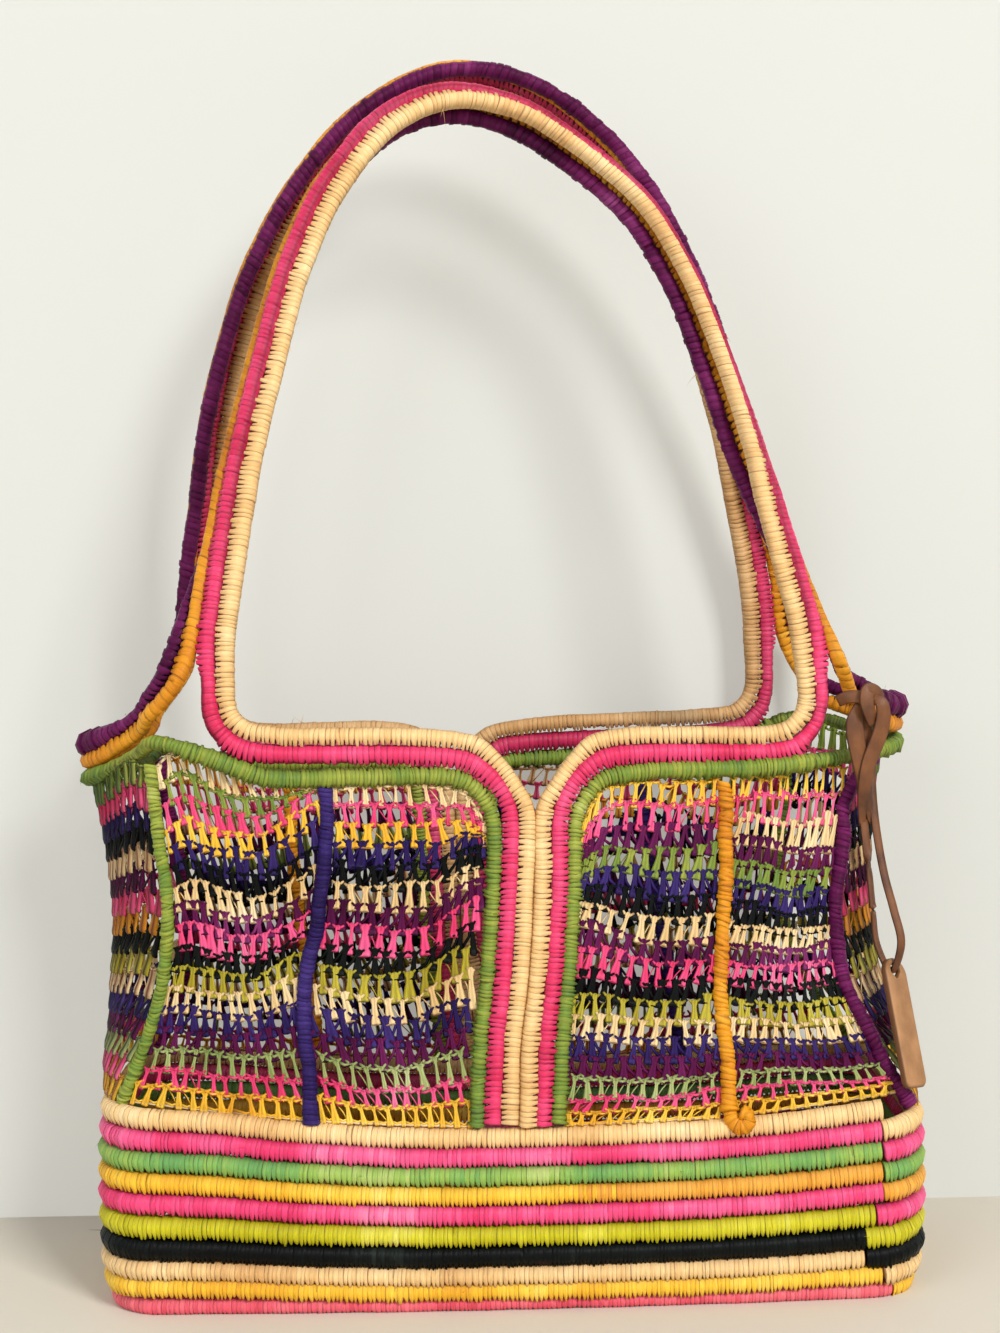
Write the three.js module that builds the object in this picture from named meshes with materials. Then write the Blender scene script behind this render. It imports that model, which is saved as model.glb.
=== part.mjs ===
// Open-weave raffia tote bag: a coiled oval-cornered base, net panels held by wrapped ribs,
// and two handles whose wrapped coils run on into the rim and the ears at the two sides.
// Millimetres, +Z up, front towards -Y. The bag stands on its coiled floor at z = 0.
import * as THREE from 'three';

// ---- driving dimensions -------------------------------------------------------------------
const WALL = {
  halfWidth: 154.5, // centre line of the widest coil, along X
  halfDepth: 52.5, // the same at the corners, along Y
  bow: 3, // how far the front and back bulge past that in the middle
  corner: 28, // corner radius of the centre line
  coil: 6.2, // thickness of one coil
  middlePitch: 6.65, // coil to coil, at the middle of the front
  cornerPitch: 7.2, // coil to coil, at the corners
  stepAngle: 36, // where a coil starts and ends, degrees round the front right corner
  climb: 42, // length over which a starting coil climbs one level
  breakGap: 1.6, // from a coil's end to the next one's start
};
// Coils from the floor up: colour, and how far each is drawn in from the widest one.
const WALL_COILS = [
  { name: 'wall_coil_01_salmon', color: 0xf26f86, inset: 5.5 },
  { name: 'wall_coil_02_yellow', color: 0xe6b23a, inset: 2.6 },
  { name: 'wall_coil_03_natural', color: 0xebcd96, inset: 1.4 },
  { name: 'wall_coil_04_black', color: 0x1c2a2b, inset: 0.7 },
  { name: 'wall_coil_05_lime', color: 0xb4b21e, inset: 0.3 },
  { name: 'wall_coil_06_pink', color: 0xe83c82, inset: 0 },
  { name: 'wall_coil_07_orange', color: 0xeca63c, inset: 0 },
  { name: 'wall_coil_08_green', color: 0x82a53c, inset: 0 },
  { name: 'wall_coil_09_pink', color: 0xe83c82, inset: 0.4 },
  { name: 'wall_coil_10_natural', color: 0xebcd96, inset: 1.0 },
];
const FLOOR = { thickness: 6, gap: 0.35 };

const RIM = {
  pitch: 6.2, // coil to coil across the centre columns and the handles
  drop: 7, // coil to coil down the rim
  seat: 1, // the foot of a centre column above the wall
  coil: 5.1, // thickness of one coil from face to face
  depth: 43, // front and back of the opening, from the middle
  frontZ: 206.5, // centre line of the top coil
  backZ: 209,
  notchRadius: 22, // top coil where the two centre columns part
  footRadius: 13, // top coil where it turns up into the handle
  twist: 6, // the mouth is turned this many degrees against the base
  shift: -3.2, // and it stands this far along X from the middle
};
const BASE_SHIFT = 2.8; // the base stands a little to the right
const LEVEL_TOP = WALL_COILS.length - 1;

// Handle top coil, from the left foot to the right foot, and the way each further coil stands off
// the one before it: degrees from straight outwards round towards the other handle.
const FRONT_ARCH = [
  { x: -104.5, z: 226, pink: 2, orange: 12, purple: 24 },
  { x: -104.5, z: 243, pink: 2, orange: 15, purple: 35 },
  { x: -102, z: 262, pink: 5, orange: 30, purple: 75 },
  { x: -98, z: 288, pink: 5, orange: 50, purple: 110 },
  { x: -93.5, z: 313, pink: -5, orange: 60, purple: 130 },
  { x: -86, z: 344, pink: -10, orange: 65, purple: 140 },
  { x: -75, z: 384, pink: -12, orange: 68, purple: 146 },
  { x: -60, z: 416.5, pink: -5, orange: 75, purple: 155 },
  { x: -40, z: 441, pink: 12, orange: 92, purple: 172 },
  { x: -18, z: 451.5, pink: 33, orange: 113, purple: 193 },
  { x: 8, z: 448.5, pink: 46, orange: 126, purple: 206 },
  { x: 34, z: 433.5, pink: 52, orange: 132, purple: 212 },
  { x: 57, z: 413.5, pink: 55, orange: 135, purple: 215 },
  { x: 74, z: 385, pink: 58, orange: 138, purple: 218 },
  { x: 87, z: 349, pink: 58, orange: 135, purple: 212 },
  { x: 95, z: 318, pink: 45, orange: 115, purple: 185 },
  { x: 100.5, z: 290, pink: 20, orange: 85, purple: 140 },
  { x: 105, z: 270, pink: 5, orange: 70, purple: 115 },
  { x: 109.8, z: 250, pink: 2, orange: 44, purple: 100 },
  { x: 113.3, z: 226, pink: 2, orange: 12, purple: 24 },
];
const BACK_ARCH = [
  { x: -105, z: 228, pink: 2, orange: 12, purple: 24 },
  { x: -107, z: 246, pink: 0, orange: 20, purple: 50 },
  { x: -108.5, z: 270, pink: -5, orange: 40, purple: 80 },
  { x: -107, z: 300, pink: -12, orange: 55, purple: 95 },
  { x: -103.5, z: 330, pink: -15, orange: 60, purple: 97 },
  { x: -98, z: 356, pink: -18, orange: 64, purple: 100 },
  { x: -88, z: 388, pink: -20, orange: 68, purple: 103 },
  { x: -71, z: 419, pink: -15, orange: 66, purple: 108 },
  { x: -46, z: 448, pink: -5, orange: 68, purple: 112 },
  { x: -14, z: 464.5, pink: 0, orange: 72, purple: 114 },
  { x: 14, z: 460.5, pink: 5, orange: 78, purple: 105 },
  { x: 42, z: 441, pink: 8, orange: 80, purple: 95 },
  { x: 62, z: 417, pink: 5, orange: 80, purple: 95 },
  { x: 79, z: 387, pink: 0, orange: 75, purple: 100 },
  { x: 91, z: 357, pink: 0, orange: 72, purple: 100 },
  { x: 101, z: 325, pink: 0, orange: 65, purple: 95 },
  { x: 107.5, z: 297, pink: 0, orange: 50, purple: 80 },
  { x: 113.3, z: 270, pink: 2, orange: 12, purple: 45 },
  { x: 115.6, z: 250, pink: 2, orange: 4, purple: 30 },
  { x: 116, z: 228, pink: 2, orange: 12, purple: 24 },
];
const ARCH = {
  foot: 210, // height where the handle starts to lean
  top: 450, // height where it is fully leaned
  lean: 27, // how far it leans towards the other handle
  pitch: 6.5, // coil to coil in the handle
};

// The ears: heights of the three coils that pass round each side of the mouth.
const LEFT_EAR = [
  { x: -135.9, y: -27.5, green: 204.4, orange: 212.4, purple: 219.4 },
  { x: -144.4, y: -18.5, green: 199.4, orange: 206.2, purple: 212.7 },
  { x: -152.4, y: -9.5, green: 195.4, orange: 201.8, purple: 208.2 },
  { x: -157.4, y: 0, green: 193.4, orange: 199.8, purple: 206.2 },
  { x: -152.4, y: 9.5, green: 193.9, orange: 200.4, purple: 206.9 },
  { x: -144.4, y: 18.5, green: 195.4, orange: 203.4, purple: 210.4 },
  { x: -135.9, y: 27.5, green: 198.4, orange: 209.9, purple: 217.4 },
];
const RIGHT_EAR = [
  { x: 143.2, y: -27.5, green: 199.5, orange: 217, purple: 224.5 },
  { x: 151.2, y: -18.5, green: 200, orange: 212.2, purple: 219.8 },
  { x: 159.2, y: -9.5, green: 201.3, orange: 209.6, purple: 217.2 },
  { x: 164.2, y: 0, green: 203.3, orange: 210.3, purple: 217.8 },
  { x: 159.2, y: 9.5, green: 205.5, orange: 212, purple: 219.3 },
  { x: 151.2, y: 18.5, green: 208.2, orange: 215, purple: 222 },
  { x: 143.2, y: 27.5, green: 211, orange: 219.5, purple: 226.8 },
];
// The green coil between the straight rim and the ear, walking outwards.
const GREEN_CORNERS = {
  frontLeft: [
    { x: -91, y: -43, z: 195.2 }, { x: -101, y: -43, z: 198.6 }, { x: -112, y: -42.5, z: 203 },
    { x: -123, y: -40.5, z: 206.8 }, { x: -131.5, y: -35, z: 207.8 },
  ],
  frontRight: [
    { x: 91, y: -43, z: 192.6 }, { x: 101, y: -43, z: 193.4 }, { x: 112, y: -42.5, z: 195.6 },
    { x: 123, y: -40.5, z: 198.2 }, { x: 131.5, y: -35, z: 199 },
  ],
  backLeft: [
    { x: -91, y: 43, z: 195.2 }, { x: -101, y: 43, z: 196 }, { x: -112, y: 42.5, z: 198 },
    { x: -123, y: 40.5, z: 201.4 }, { x: -131.5, y: 35, z: 202.4 },
  ],
  backRight: [
    { x: 91, y: 43, z: 197.5 }, { x: 101, y: 43, z: 199 }, { x: 112, y: 42.5, z: 202 },
    { x: 123, y: 40.5, z: 207.8 }, { x: 131.5, y: 35, z: 211.5 },
  ],
};
// The two outer handle coils between the ear and the handle, walking up from the ear.
const FEET = {
  frontLeft: {
    orange: [{ x: -132.5, y: -36, z: 217.8 }, { x: -126.5, y: -40.8, z: 224.3 }, { x: -121.5, y: -42.3, z: 231.8 }],
    purple: [{ x: -132.5, y: -31.5, z: 224.8 }, { x: -128, y: -35.5, z: 231.8 }, { x: -124.9, y: -37.2, z: 239 }],
  },
  frontRight: {
    orange: [{ x: 133.5, y: -36.5, z: 222 }, { x: 129, y: -41, z: 229.5 }, { x: 126, y: -42, z: 236 }],
    purple: [{ x: 132, y: -31, z: 230.5 }, { x: 128.6, y: -33.5, z: 236.5 }, { x: 125.6, y: -33, z: 242.5 }],
  },
  backLeft: {
    orange: [{ x: -131, y: 36.5, z: 216.8 }, { x: -124.5, y: 41, z: 224.3 }, { x: -120, y: 42.3, z: 231.8 }],
    purple: [{ x: -132.5, y: 31.2, z: 224.6 }, { x: -128, y: 35.5, z: 231.8 }, { x: -125.8, y: 37.2, z: 239 }],
  },
  backRight: {
    orange: [{ x: 140, y: 34, z: 225 }, { x: 137, y: 38.5, z: 231 }, { x: 133.5, y: 41, z: 238.5 }],
    purple: [{ x: 142, y: 29.5, z: 232 }, { x: 140.5, y: 33, z: 239 }, { x: 138.8, y: 35.5, z: 246.5 }],
  },
};

// Where the net turns the corner, and how far the side panels stand out, by height.
const CORNER_PROFILE = [
  { z: 66, x: 149.5, y: 39.5, side: 154, blunt: 3 },
  { z: 75, x: 144.5, y: 43.5, side: 154.5, blunt: 2.9 },
  { z: 87, x: 139, y: 46, side: 154.5, blunt: 2.8 },
  { z: 100, x: 132.5, y: 44.8, side: 151.5, blunt: 2.5 },
  { z: 120, x: 126.2, y: 43, side: 149, blunt: 2.2 },
  { z: 140, x: 124.3, y: 42, side: 148, blunt: 2 },
  { z: 160, x: 126.5, y: 41, side: 149.5, blunt: 1.8 },
  { z: 180, x: 130, y: 39, side: 152.5, blunt: 1.5 },
  { z: 200, x: 132.5, y: 35.5, side: 157.5, blunt: 1.3 },
];
const NET = { thickness: 2, across: 4, sideAcross: 8, up: 5, seat: 0.6, sideSeat: 0.8, earClear: 1.8, rimClear: 0.75 };
const RIB = {
  width: 5.6,
  clear: 0.45, // from a rib to the net beside it
  cornerClear: 1.5, // the same at a corner, where the net turns
  seat: 1, // the foot of a middle rib above the wall
  footSeat: 1.8, // the slanting foot of a corner rib above the wall
};
// Wrapped ribs halfway along each half of the front; the back is the front turned round.
const MID_RIBS = [
  { name: 'violet', color: 0x3f2c78, foot: -76, knee: -75, head: -68 },
  { name: 'orange', color: 0xe39a26, foot: 78, knee: 79, head: 80.5 },
];

const COLOR = {
  natural: 0xebcd96, pink: 0xe83c82, green: 0x82a53c, orange: 0xe39a26, purple: 0x5a2458,
  net: 0xc99a86, leather: 0x9a5f2c,
};

// ---- small helpers ------------------------------------------------------------------------
const v3 = (x, y, z) => new THREE.Vector3(x, y, z);
const rad = THREE.MathUtils.degToRad;
const mix = THREE.MathUtils.lerp;
const ease = (value, from, to) => THREE.MathUtils.smoothstep(value, from, to);

// The mouth of the bag is turned a little against the base, and moved over.
function twisted(point) {
  const share = ease(point.z, 70, 205);
  const turned = point.clone().applyAxisAngle(v3(0, 0, 1), rad(RIM.twist) * share);
  turned.x += mix(BASE_SHIFT, RIM.shift, ease(point.z, 70, 120));
  return turned;
}

// A polyline that an extrusion visits station by station.
class Route extends THREE.Curve {
  constructor(stations) {
    super();
    this.stations = stations;
  }

  getPoint(t, target = new THREE.Vector3()) {
    const last = this.stations.length - 1;
    const place = THREE.MathUtils.clamp(t, 0, 1) * last;
    const index = Math.min(Math.floor(place), last - 1);
    return target.copy(this.stations[index]).lerp(this.stations[index + 1], place - index);
  }

  getUtoTmapping(u) {
    return u;
  }
}

// A six-sided coil along a route. `flat` is the thickness from face to face.
function coil(stations, flat, sides = 6) {
  const radius = flat / 2 / Math.cos(Math.PI / sides);
  const section = new THREE.Shape();
  for (let i = 0; i < sides; i += 1) {
    const angle = (i + 0.5) * (2 * Math.PI / sides);
    const corner = [radius * Math.cos(angle), radius * Math.sin(angle)];
    if (i === 0) section.moveTo(...corner);
    else section.lineTo(...corner);
  }
  section.closePath();
  return new THREE.ExtrudeGeometry(section, {
    extrudePath: new Route(stations), steps: stations.length - 1, bevelEnabled: false,
  });
}

const bag = new THREE.Group();

function add(name, geometry, color, roughness = 0.75) {
  const material = new THREE.MeshStandardMaterial({ color, roughness, metalness: 0 });
  const mesh = new THREE.Mesh(geometry, material);
  mesh.name = name;
  bag.add(mesh);
  return mesh;
}

// A value read from a table by height, straight between its rows.
function byHeight(table, z, column) {
  const last = table.length - 1;
  if (z <= table[0].z) return table[0][column];
  if (z >= table[last].z) return table[last][column];
  const index = table.findIndex((row) => row.z >= z);
  const low = table[index - 1];
  const high = table[index];
  return mix(low[column], high[column], (z - low.z) / (high.z - low.z));
}

// ---- the coiled base ----------------------------------------------------------------------
const pitchAt = (x) => mix(WALL.middlePitch, WALL.cornerPitch, Math.min(1, (x / WALL.halfWidth) ** 2));
const bowAt = (x) => WALL.bow * (1 - Math.min(1, (x / WALL.halfWidth) ** 2));

// Plan of one coil, walked from the step at the front right corner round by the back.
function wallPlan(inset) {
  const radius = WALL.corner - inset / 2;
  const cx = WALL.halfWidth - inset - radius;
  const cy = WALL.halfDepth - inset - radius;
  const corners = [
    { x: cx, y: -cy, from: WALL.stepAngle - 90, to: 0, steps: 3, next: 3 },
    { x: cx, y: cy, from: 0, to: 90, steps: 3, next: 4 },
    { x: -cx, y: cy, from: 90, to: 180, steps: 3, next: 1 },
    { x: -cx, y: -cy, from: 180, to: 270, steps: 3, next: 4 },
    { x: cx, y: -cy, from: 270, to: 270 + WALL.stepAngle, steps: 2, next: 0 },
  ];
  const plan = [];
  corners.forEach((corner, index) => {
    for (let i = 0; i <= corner.steps; i += 1) {
      const angle = rad(mix(corner.from, corner.to, i / corner.steps));
      plan.push({ x: corner.x + radius * Math.cos(angle), y: corner.y + radius * Math.sin(angle) });
    }
    const end = plan[plan.length - 1];
    const follow = corners[index + 1];
    for (let i = 1; i < corner.next; i += 1) {
      const start = rad(follow.from);
      plan.push({
        x: mix(end.x, follow.x + radius * Math.cos(start), i / corner.next),
        y: mix(end.y, follow.y + radius * Math.sin(start), i / corner.next),
      });
    }
  });
  return plan.map(({ x, y }) => ({ x, y: y + Math.sign(y) * bowAt(x) * ease(Math.abs(y), cy, cy + radius) }));
}

// Height of a coil's centre line: it climbs one level just after the step.
function wallStations(level, inset) {
  const plan = wallPlan(inset);
  let walked = 0;
  const stations = [];
  plan.forEach((spot, index) => {
    if (index > 0) walked += Math.hypot(spot.x - plan[index - 1].x, spot.y - plan[index - 1].y);
    const below = level === 0 ? 0 : 1 - ease(walked, 0, WALL.climb);
    if (level > 0 || walked > WALL.climb) {
      stations.push(v3(spot.x, spot.y, WALL.coil / 2 + (level - below) * pitchAt(spot.x)));
    }
  });
  const last = stations.length - 1;
  const back = stations[last - 1].clone().sub(stations[last]).setLength(WALL.breakGap);
  stations[last].add(back);
  return stations.map(twisted);
}

WALL_COILS.forEach(({ name, color, inset }, level) => {
  add(name, coil(wallStations(level, inset), WALL.coil), color);
});

function makeFloor() {
  const inset = WALL_COILS[0].inset + WALL.coil / 2 / Math.cos(Math.PI / 6) + FLOOR.gap;
  const outline = new THREE.Shape(wallPlan(inset).map(({ x, y }) => new THREE.Vector2(x, y)));
  const slab = new THREE.ExtrudeGeometry(outline, { depth: FLOOR.thickness, bevelEnabled: false });
  return slab.translate(BASE_SHIFT, 0, 0);
}
add('floor', makeFloor(), COLOR.pink);

// ---- the faces of the bag -----------------------------------------------------------------
const wallTop = (x) => WALL.coil + LEVEL_TOP * pitchAt(x);

// Distance of the front or back from the middle, at a place on it.
function faceDepth(x, z) {
  const share = THREE.MathUtils.clamp((z - CORNER_PROFILE[0].z) / (RIM.frontZ - CORNER_PROFILE[0].z), 0, 1);
  const middle = mix(WALL.halfDepth + WALL.bow, RIM.depth, share);
  const cornerX = byHeight(CORNER_PROFILE, z, 'x');
  const cornerY = byHeight(CORNER_PROFILE, z, 'y');
  return mix(middle, cornerY, Math.min(1, Math.abs(x / cornerX) ** 3));
}

// Distance of a side from the middle, at a place on it.
function sideDistance(y, z) {
  const cornerX = byHeight(CORNER_PROFILE, z, 'x');
  const cornerY = byHeight(CORNER_PROFILE, z, 'y');
  const side = byHeight(CORNER_PROFILE, z, 'side');
  return mix(side, cornerX, Math.min(1, Math.abs(y / cornerY)) ** byHeight(CORNER_PROFILE, z, 'blunt'));
}

// lift: how much higher the rim is at the left and the right foot of the handle.
const FACES = {
  front: { sign: -1, rimZ: RIM.frontZ, lift: { left: 3, right: 0.5 }, notchX: 5, arch: FRONT_ARCH },
  back: { sign: 1, rimZ: RIM.backZ, lift: { left: 0.5, right: 4.5 }, notchX: -18, arch: BACK_ARCH },
};
const liftOf = (face, side) => (side < 0 ? face.lift.left : face.lift.right);

// Centre column, notch and straight rim of one coil on one half of a face.
// order 0 is the top coil, 1 the next, 2 the green one; side is -1 for left, 1 for right.
function rimHalf(face, order, side) {
  const offset = order * RIM.pitch;
  const columnX = face.notchX + side * (RIM.pitch / 2 + offset);
  const centreX = face.notchX + side * (RIM.pitch / 2 + RIM.notchRadius);
  const centreZ = face.rimZ - RIM.notchRadius;
  const wide = RIM.notchRadius - offset;
  const high = RIM.notchRadius - order * RIM.drop;
  const spots = [];
  for (const share of [0, 0.2, 0.4, 0.6]) {
    spots.push({ x: columnX, z: mix(wallTop(columnX) + RIM.seat, centreZ, share) });
  }
  for (const angle of [0, 30, 60, 90]) {
    spots.push({ x: centreX - side * wide * Math.cos(rad(angle)), z: centreZ + high * Math.sin(rad(angle)) });
  }
  return spots;
}

// The turn from the rim up into the handle, for the two inner coils.
function footTurn(face, order, side) {
  const foot = side < 0 ? face.arch[0] : face.arch[face.arch.length - 1];
  const centreX = foot.x - side * RIM.footRadius;
  const centreZ = face.rimZ + liftOf(face, side) + RIM.footRadius;
  const wide = RIM.footRadius + order * ARCH.pitch;
  const high = RIM.footRadius + order * RIM.drop;
  return [-90, -60, -30, 0].map((angle) => ({
    x: centreX + side * wide * Math.cos(rad(angle)), z: centreZ + high * Math.sin(rad(angle)),
  }));
}

const onFace = (face) => ({ x, z }) => v3(x, face.sign * faceDepth(Math.min(Math.abs(x), 100), z), z);
const leanAt = (z) => RIM.depth - ARCH.lean * ease(z, ARCH.foot, ARCH.top);

// One of the four handle coils over the arch, from left to right. They lie side by side at the
// feet and curl round into a channel further up, which rolls over as it goes.
function archCoil(face, order) {
  const rows = face.arch;
  return rows.map((row, index) => {
    const before = rows[Math.max(index - 1, 0)];
    const after = rows[Math.min(index + 1, rows.length - 1)];
    const run = new THREE.Vector2(after.x - before.x, after.z - before.z).normalize();
    let out = 0;
    let inward = 0;
    for (const color of ['pink', 'orange', 'purple'].slice(0, order)) {
      out += ARCH.pitch * Math.cos(rad(row[color]));
      inward += ARCH.pitch * Math.sin(rad(row[color]));
    }
    return v3(row.x - run.y * out, face.sign * (leanAt(row.z) - inward), row.z + run.x * out);
  });
}

// Natural and pink: up the centre, along the rim, over the handle and back down.
function innerCoil(face, order) {
  const left = [...rimHalf(face, order, -1), ...footTurn(face, order, -1)].map(onFace(face));
  const right = [...rimHalf(face, order, 1), ...footTurn(face, order, 1)].map(onFace(face));
  return [...left, ...archCoil(face, order), ...right.reverse()].map(twisted);
}

for (const [label, face] of Object.entries(FACES)) {
  add(`handle_coil_natural_${label}`, coil(innerCoil(face, 0), RIM.coil), COLOR.natural);
  add(`handle_coil_pink_${label}`, coil(innerCoil(face, 1), RIM.coil), COLOR.pink);
}

const place = ({ x, y, z }) => v3(x, y, z);
const earHeights = (ear, color) => ear.map((row) => v3(row.x, row.y, row[color]));

// Green: up the centre of the front, out along the rim, round the ear and back the same way.
function greenCoil(side) {
  const ear = earHeights(side < 0 ? LEFT_EAR : RIGHT_EAR, 'green');
  const front = side < 0 ? GREEN_CORNERS.frontLeft : GREEN_CORNERS.frontRight;
  const back = side < 0 ? GREEN_CORNERS.backLeft : GREEN_CORNERS.backRight;
  return [
    ...rimHalf(FACES.front, 2, side).map(onFace(FACES.front)), ...front.map(place), ...ear,
    ...back.map(place).reverse(), ...rimHalf(FACES.back, 2, side).map(onFace(FACES.back)).reverse(),
  ].map(twisted);
}
add('rim_coil_green_left', coil(greenCoil(-1), RIM.coil), COLOR.green);
add('rim_coil_green_right', coil(greenCoil(1), RIM.coil), COLOR.green);

// Orange and purple: one closed ring each, over both handles and round both ears.
function outerCoil(color, order) {
  const foot = (where) => FEET[where][color].map(place);
  const trim = (stations) => stations.slice(1, -1);
  const ring = [
    ...foot('frontLeft'), ...trim(archCoil(FACES.front, order)), ...foot('frontRight').reverse(),
    ...earHeights(RIGHT_EAR, color), ...foot('backRight'),
    ...trim(archCoil(FACES.back, order)).reverse(), ...foot('backLeft').reverse(),
    ...earHeights(LEFT_EAR, color).reverse(),
  ];
  const join = ring[ring.length - 1].clone().lerp(ring[0], 0.9);
  return [...ring, join].map(twisted);
}
add('handle_ring_orange', coil(outerCoil('orange', 2), RIM.coil), COLOR.orange);
add('handle_ring_purple', coil(outerCoil('purple', 3), RIM.coil), COLOR.purple);

// ---- ribs and net -------------------------------------------------------------------------
// A wrapped rib stands on the wall and ends under the green rim coil.
function rib(stations) {
  return coil(stations.map(twisted), RIB.width);
}

const RIB_SHARES = [0, 0.2, 0.4, 0.6, 0.8, 1]; // the net has its rows at the same places
const ribX = ({ foot, knee, head }, share) => (
  share < 0.4 ? mix(foot, knee, share / 0.4) : mix(knee, head, ease(share, 0.4, 0.75))
);

function midRib(face, turn, row) {
  const bottom = wallTop(row.foot) + RIB.seat;
  const top = face.rimZ - 2 * RIM.drop - RIM.coil / 2 - RIB.clear;
  return rib(RIB_SHARES.map((share) => (
    onFace(face)({ x: turn * ribX(row, share), z: mix(bottom, top, share) })
  )));
}

const CORNERS = [
  { label: 'front_left', side: -1, face: FACES.front, color: COLOR.green, top: 203.6 },
  { label: 'front_right', side: 1, face: FACES.front, color: COLOR.purple, top: 195 },
  { label: 'back_left', side: -1, face: FACES.back, color: COLOR.purple, top: 198.2 },
  { label: 'back_right', side: 1, face: FACES.back, color: COLOR.green, top: 207 },
];

function cornerStations({ side, face, top }) {
  const foot = wallTop(CORNER_PROFILE[0].x) + RIB.footSeat;
  return RIB_SHARES.map((share) => {
    const z = mix(foot, top, share);
    return v3(side * byHeight(CORNER_PROFILE, z, 'x'), face.sign * byHeight(CORNER_PROFILE, z, 'y'), z);
  });
}

CORNERS.forEach((corner) => {
  add(`corner_rib_${corner.label}`, rib(cornerStations(corner)), corner.color);
});
MID_RIBS.forEach((row) => {
  add(`rib_${row.name}_front`, midRib(FACES.front, 1, row), row.color);
  add(`rib_${row.name}_back`, midRib(FACES.back, -1, row), row.color);
});

// A point part of the way along a polyline, by length.
function along(spots, share) {
  const lengths = spots.slice(1).map((spot, i) => spot.distanceTo(spots[i]));
  let left = share * lengths.reduce((sum, length) => sum + length, 0);
  for (let i = 0; i < lengths.length; i += 1) {
    if (left <= lengths[i] || i === lengths.length - 1) {
      return spots[i].clone().lerp(spots[i + 1], Math.min(1, left / lengths[i]));
    }
    left -= lengths[i];
  }
  return spots[spots.length - 1].clone();
}

// The same, counted by the polyline's own points.
function byPoint(spots, share) {
  const spot = share * (spots.length - 1);
  const index = Math.min(Math.floor(spot), spots.length - 2);
  return spots[index].clone().lerp(spots[index + 1], spot - index);
}

// A patch filled in between four edges; all run from the low left corner outwards or upwards.
function patch(bottom, top, left, right) {
  return (u, v) => {
    const blend = new THREE.Vector2();
    const put = (point, weight) => blend.addScaledVector(point, weight);
    put(along(bottom, u), 1 - v);
    put(along(top, u), v);
    put(byPoint(left, v), 1 - u);
    put(byPoint(right, v), u);
    put(bottom[0], -(1 - u) * (1 - v));
    put(bottom[bottom.length - 1], -u * (1 - v));
    put(top[0], -(1 - u) * v);
    put(top[top.length - 1], -u * v);
    return blend;
  };
}

// A closed sheet of even thickness on a surface.
function sheet(surface, across = NET.across) {
  const position = [];
  const index = [];
  const delta = 1e-3;
  for (const sign of [1, -1]) {
    for (let j = 0; j <= NET.up; j += 1) {
      for (let i = 0; i <= across; i += 1) {
        const u = i / across;
        const v = j / NET.up;
        const alongU = surface(Math.min(u + delta, 1), v).sub(surface(Math.max(u - delta, 0), v));
        const alongV = surface(u, Math.min(v + delta, 1)).sub(surface(u, Math.max(v - delta, 0)));
        const normal = alongU.cross(alongV).normalize();
        position.push(...surface(u, v).addScaledVector(normal, (sign * NET.thickness) / 2).toArray());
      }
    }
  }
  const row = across + 1;
  const under = row * (NET.up + 1);
  const quad = (a, b, c, d) => index.push(a, b, c, a, c, d);
  for (let j = 0; j < NET.up; j += 1) {
    for (let i = 0; i < across; i += 1) {
      const a = j * row + i;
      quad(a, a + 1, a + row + 1, a + row);
      quad(under + a, under + a + row, under + a + row + 1, under + a + 1);
    }
  }
  const rimWalk = [];
  for (let i = 0; i < across; i += 1) rimWalk.push(i);
  for (let j = 0; j < NET.up; j += 1) rimWalk.push(j * row + across);
  for (let i = across; i > 0; i -= 1) rimWalk.push(NET.up * row + i);
  for (let j = NET.up; j > 0; j -= 1) rimWalk.push(j * row);
  rimWalk.forEach((a, k) => {
    const b = rimWalk[(k + 1) % rimWalk.length];
    quad(a, under + a, under + b, b);
  });
  const geometry = new THREE.BufferGeometry();
  geometry.setAttribute('position', new THREE.Float32BufferAttribute(position, 3));
  geometry.setIndex(index);
  geometry.computeVertexNormals();
  return geometry;
}

const v2 = (x, y) => new THREE.Vector2(x, y);
const NET_ORDER = 2.56; // a little over half a coil below the green one
const ribHalf = RIB.width / 2 / Math.cos(Math.PI / 6);
const ribGap = ribHalf + RIB.clear;
const cornerGap = ribHalf + RIB.cornerClear;

// Half of a face from its centre column to its corner, split by the wrapped rib.
function facePanels(label, face, side, midRow, corner) {
  const turn = side;
  const base = (x) => v2(x, wallTop(x) + NET.seat);
  const edge = rimHalf(face, NET_ORDER, side).map(({ x, z }) => v2(x, z));
  const greenRow = side < 0 ? GREEN_CORNERS[`${label}Left`] : GREEN_CORNERS[`${label}Right`];
  const under = RIM.coil / 2 / Math.cos(Math.PI / 6) + NET.rimClear;
  const outer = greenRow.map(({ x, z }) => v2(x, z - under));
  const headZ = face.rimZ - 2 * RIM.drop - under;
  const ribLine = (offset) => {
    const foot = base(ribX(midRow, 0) + offset);
    return RIB_SHARES.map((share) => v2(ribX(midRow, share) + offset, mix(foot.y, headZ, share)));
  };
  const nearSide = ribLine(-turn * ribGap);
  const farSide = ribLine(turn * ribGap);
  const head = nearSide.length - 1;
  const inner = patch(
    [base(edge[0].x), nearSide[0]], [...edge.slice(4), nearSide[head]], [base(edge[0].x), edge[4]], nearSide,
  );
  const cornerLine = cornerStations(corner).map(({ x, z }) => v2(x - turn * cornerGap, z));
  cornerLine[0] = base(cornerLine[0].x);
  const last = cornerLine.length - 1;
  const outerTop = [farSide[head], ...outer.slice(0, -1), cornerLine[last]];
  const outward = patch([farSide[0], cornerLine[0]], outerTop, farSide, cornerLine);
  return [inner, outward].map((flat) => (u, v) => {
    const { x, y: z } = flat(turn * face.sign < 0 ? u : 1 - u, v);
    return twisted(v3(x, face.sign * faceDepth(x, z), z));
  });
}

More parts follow.
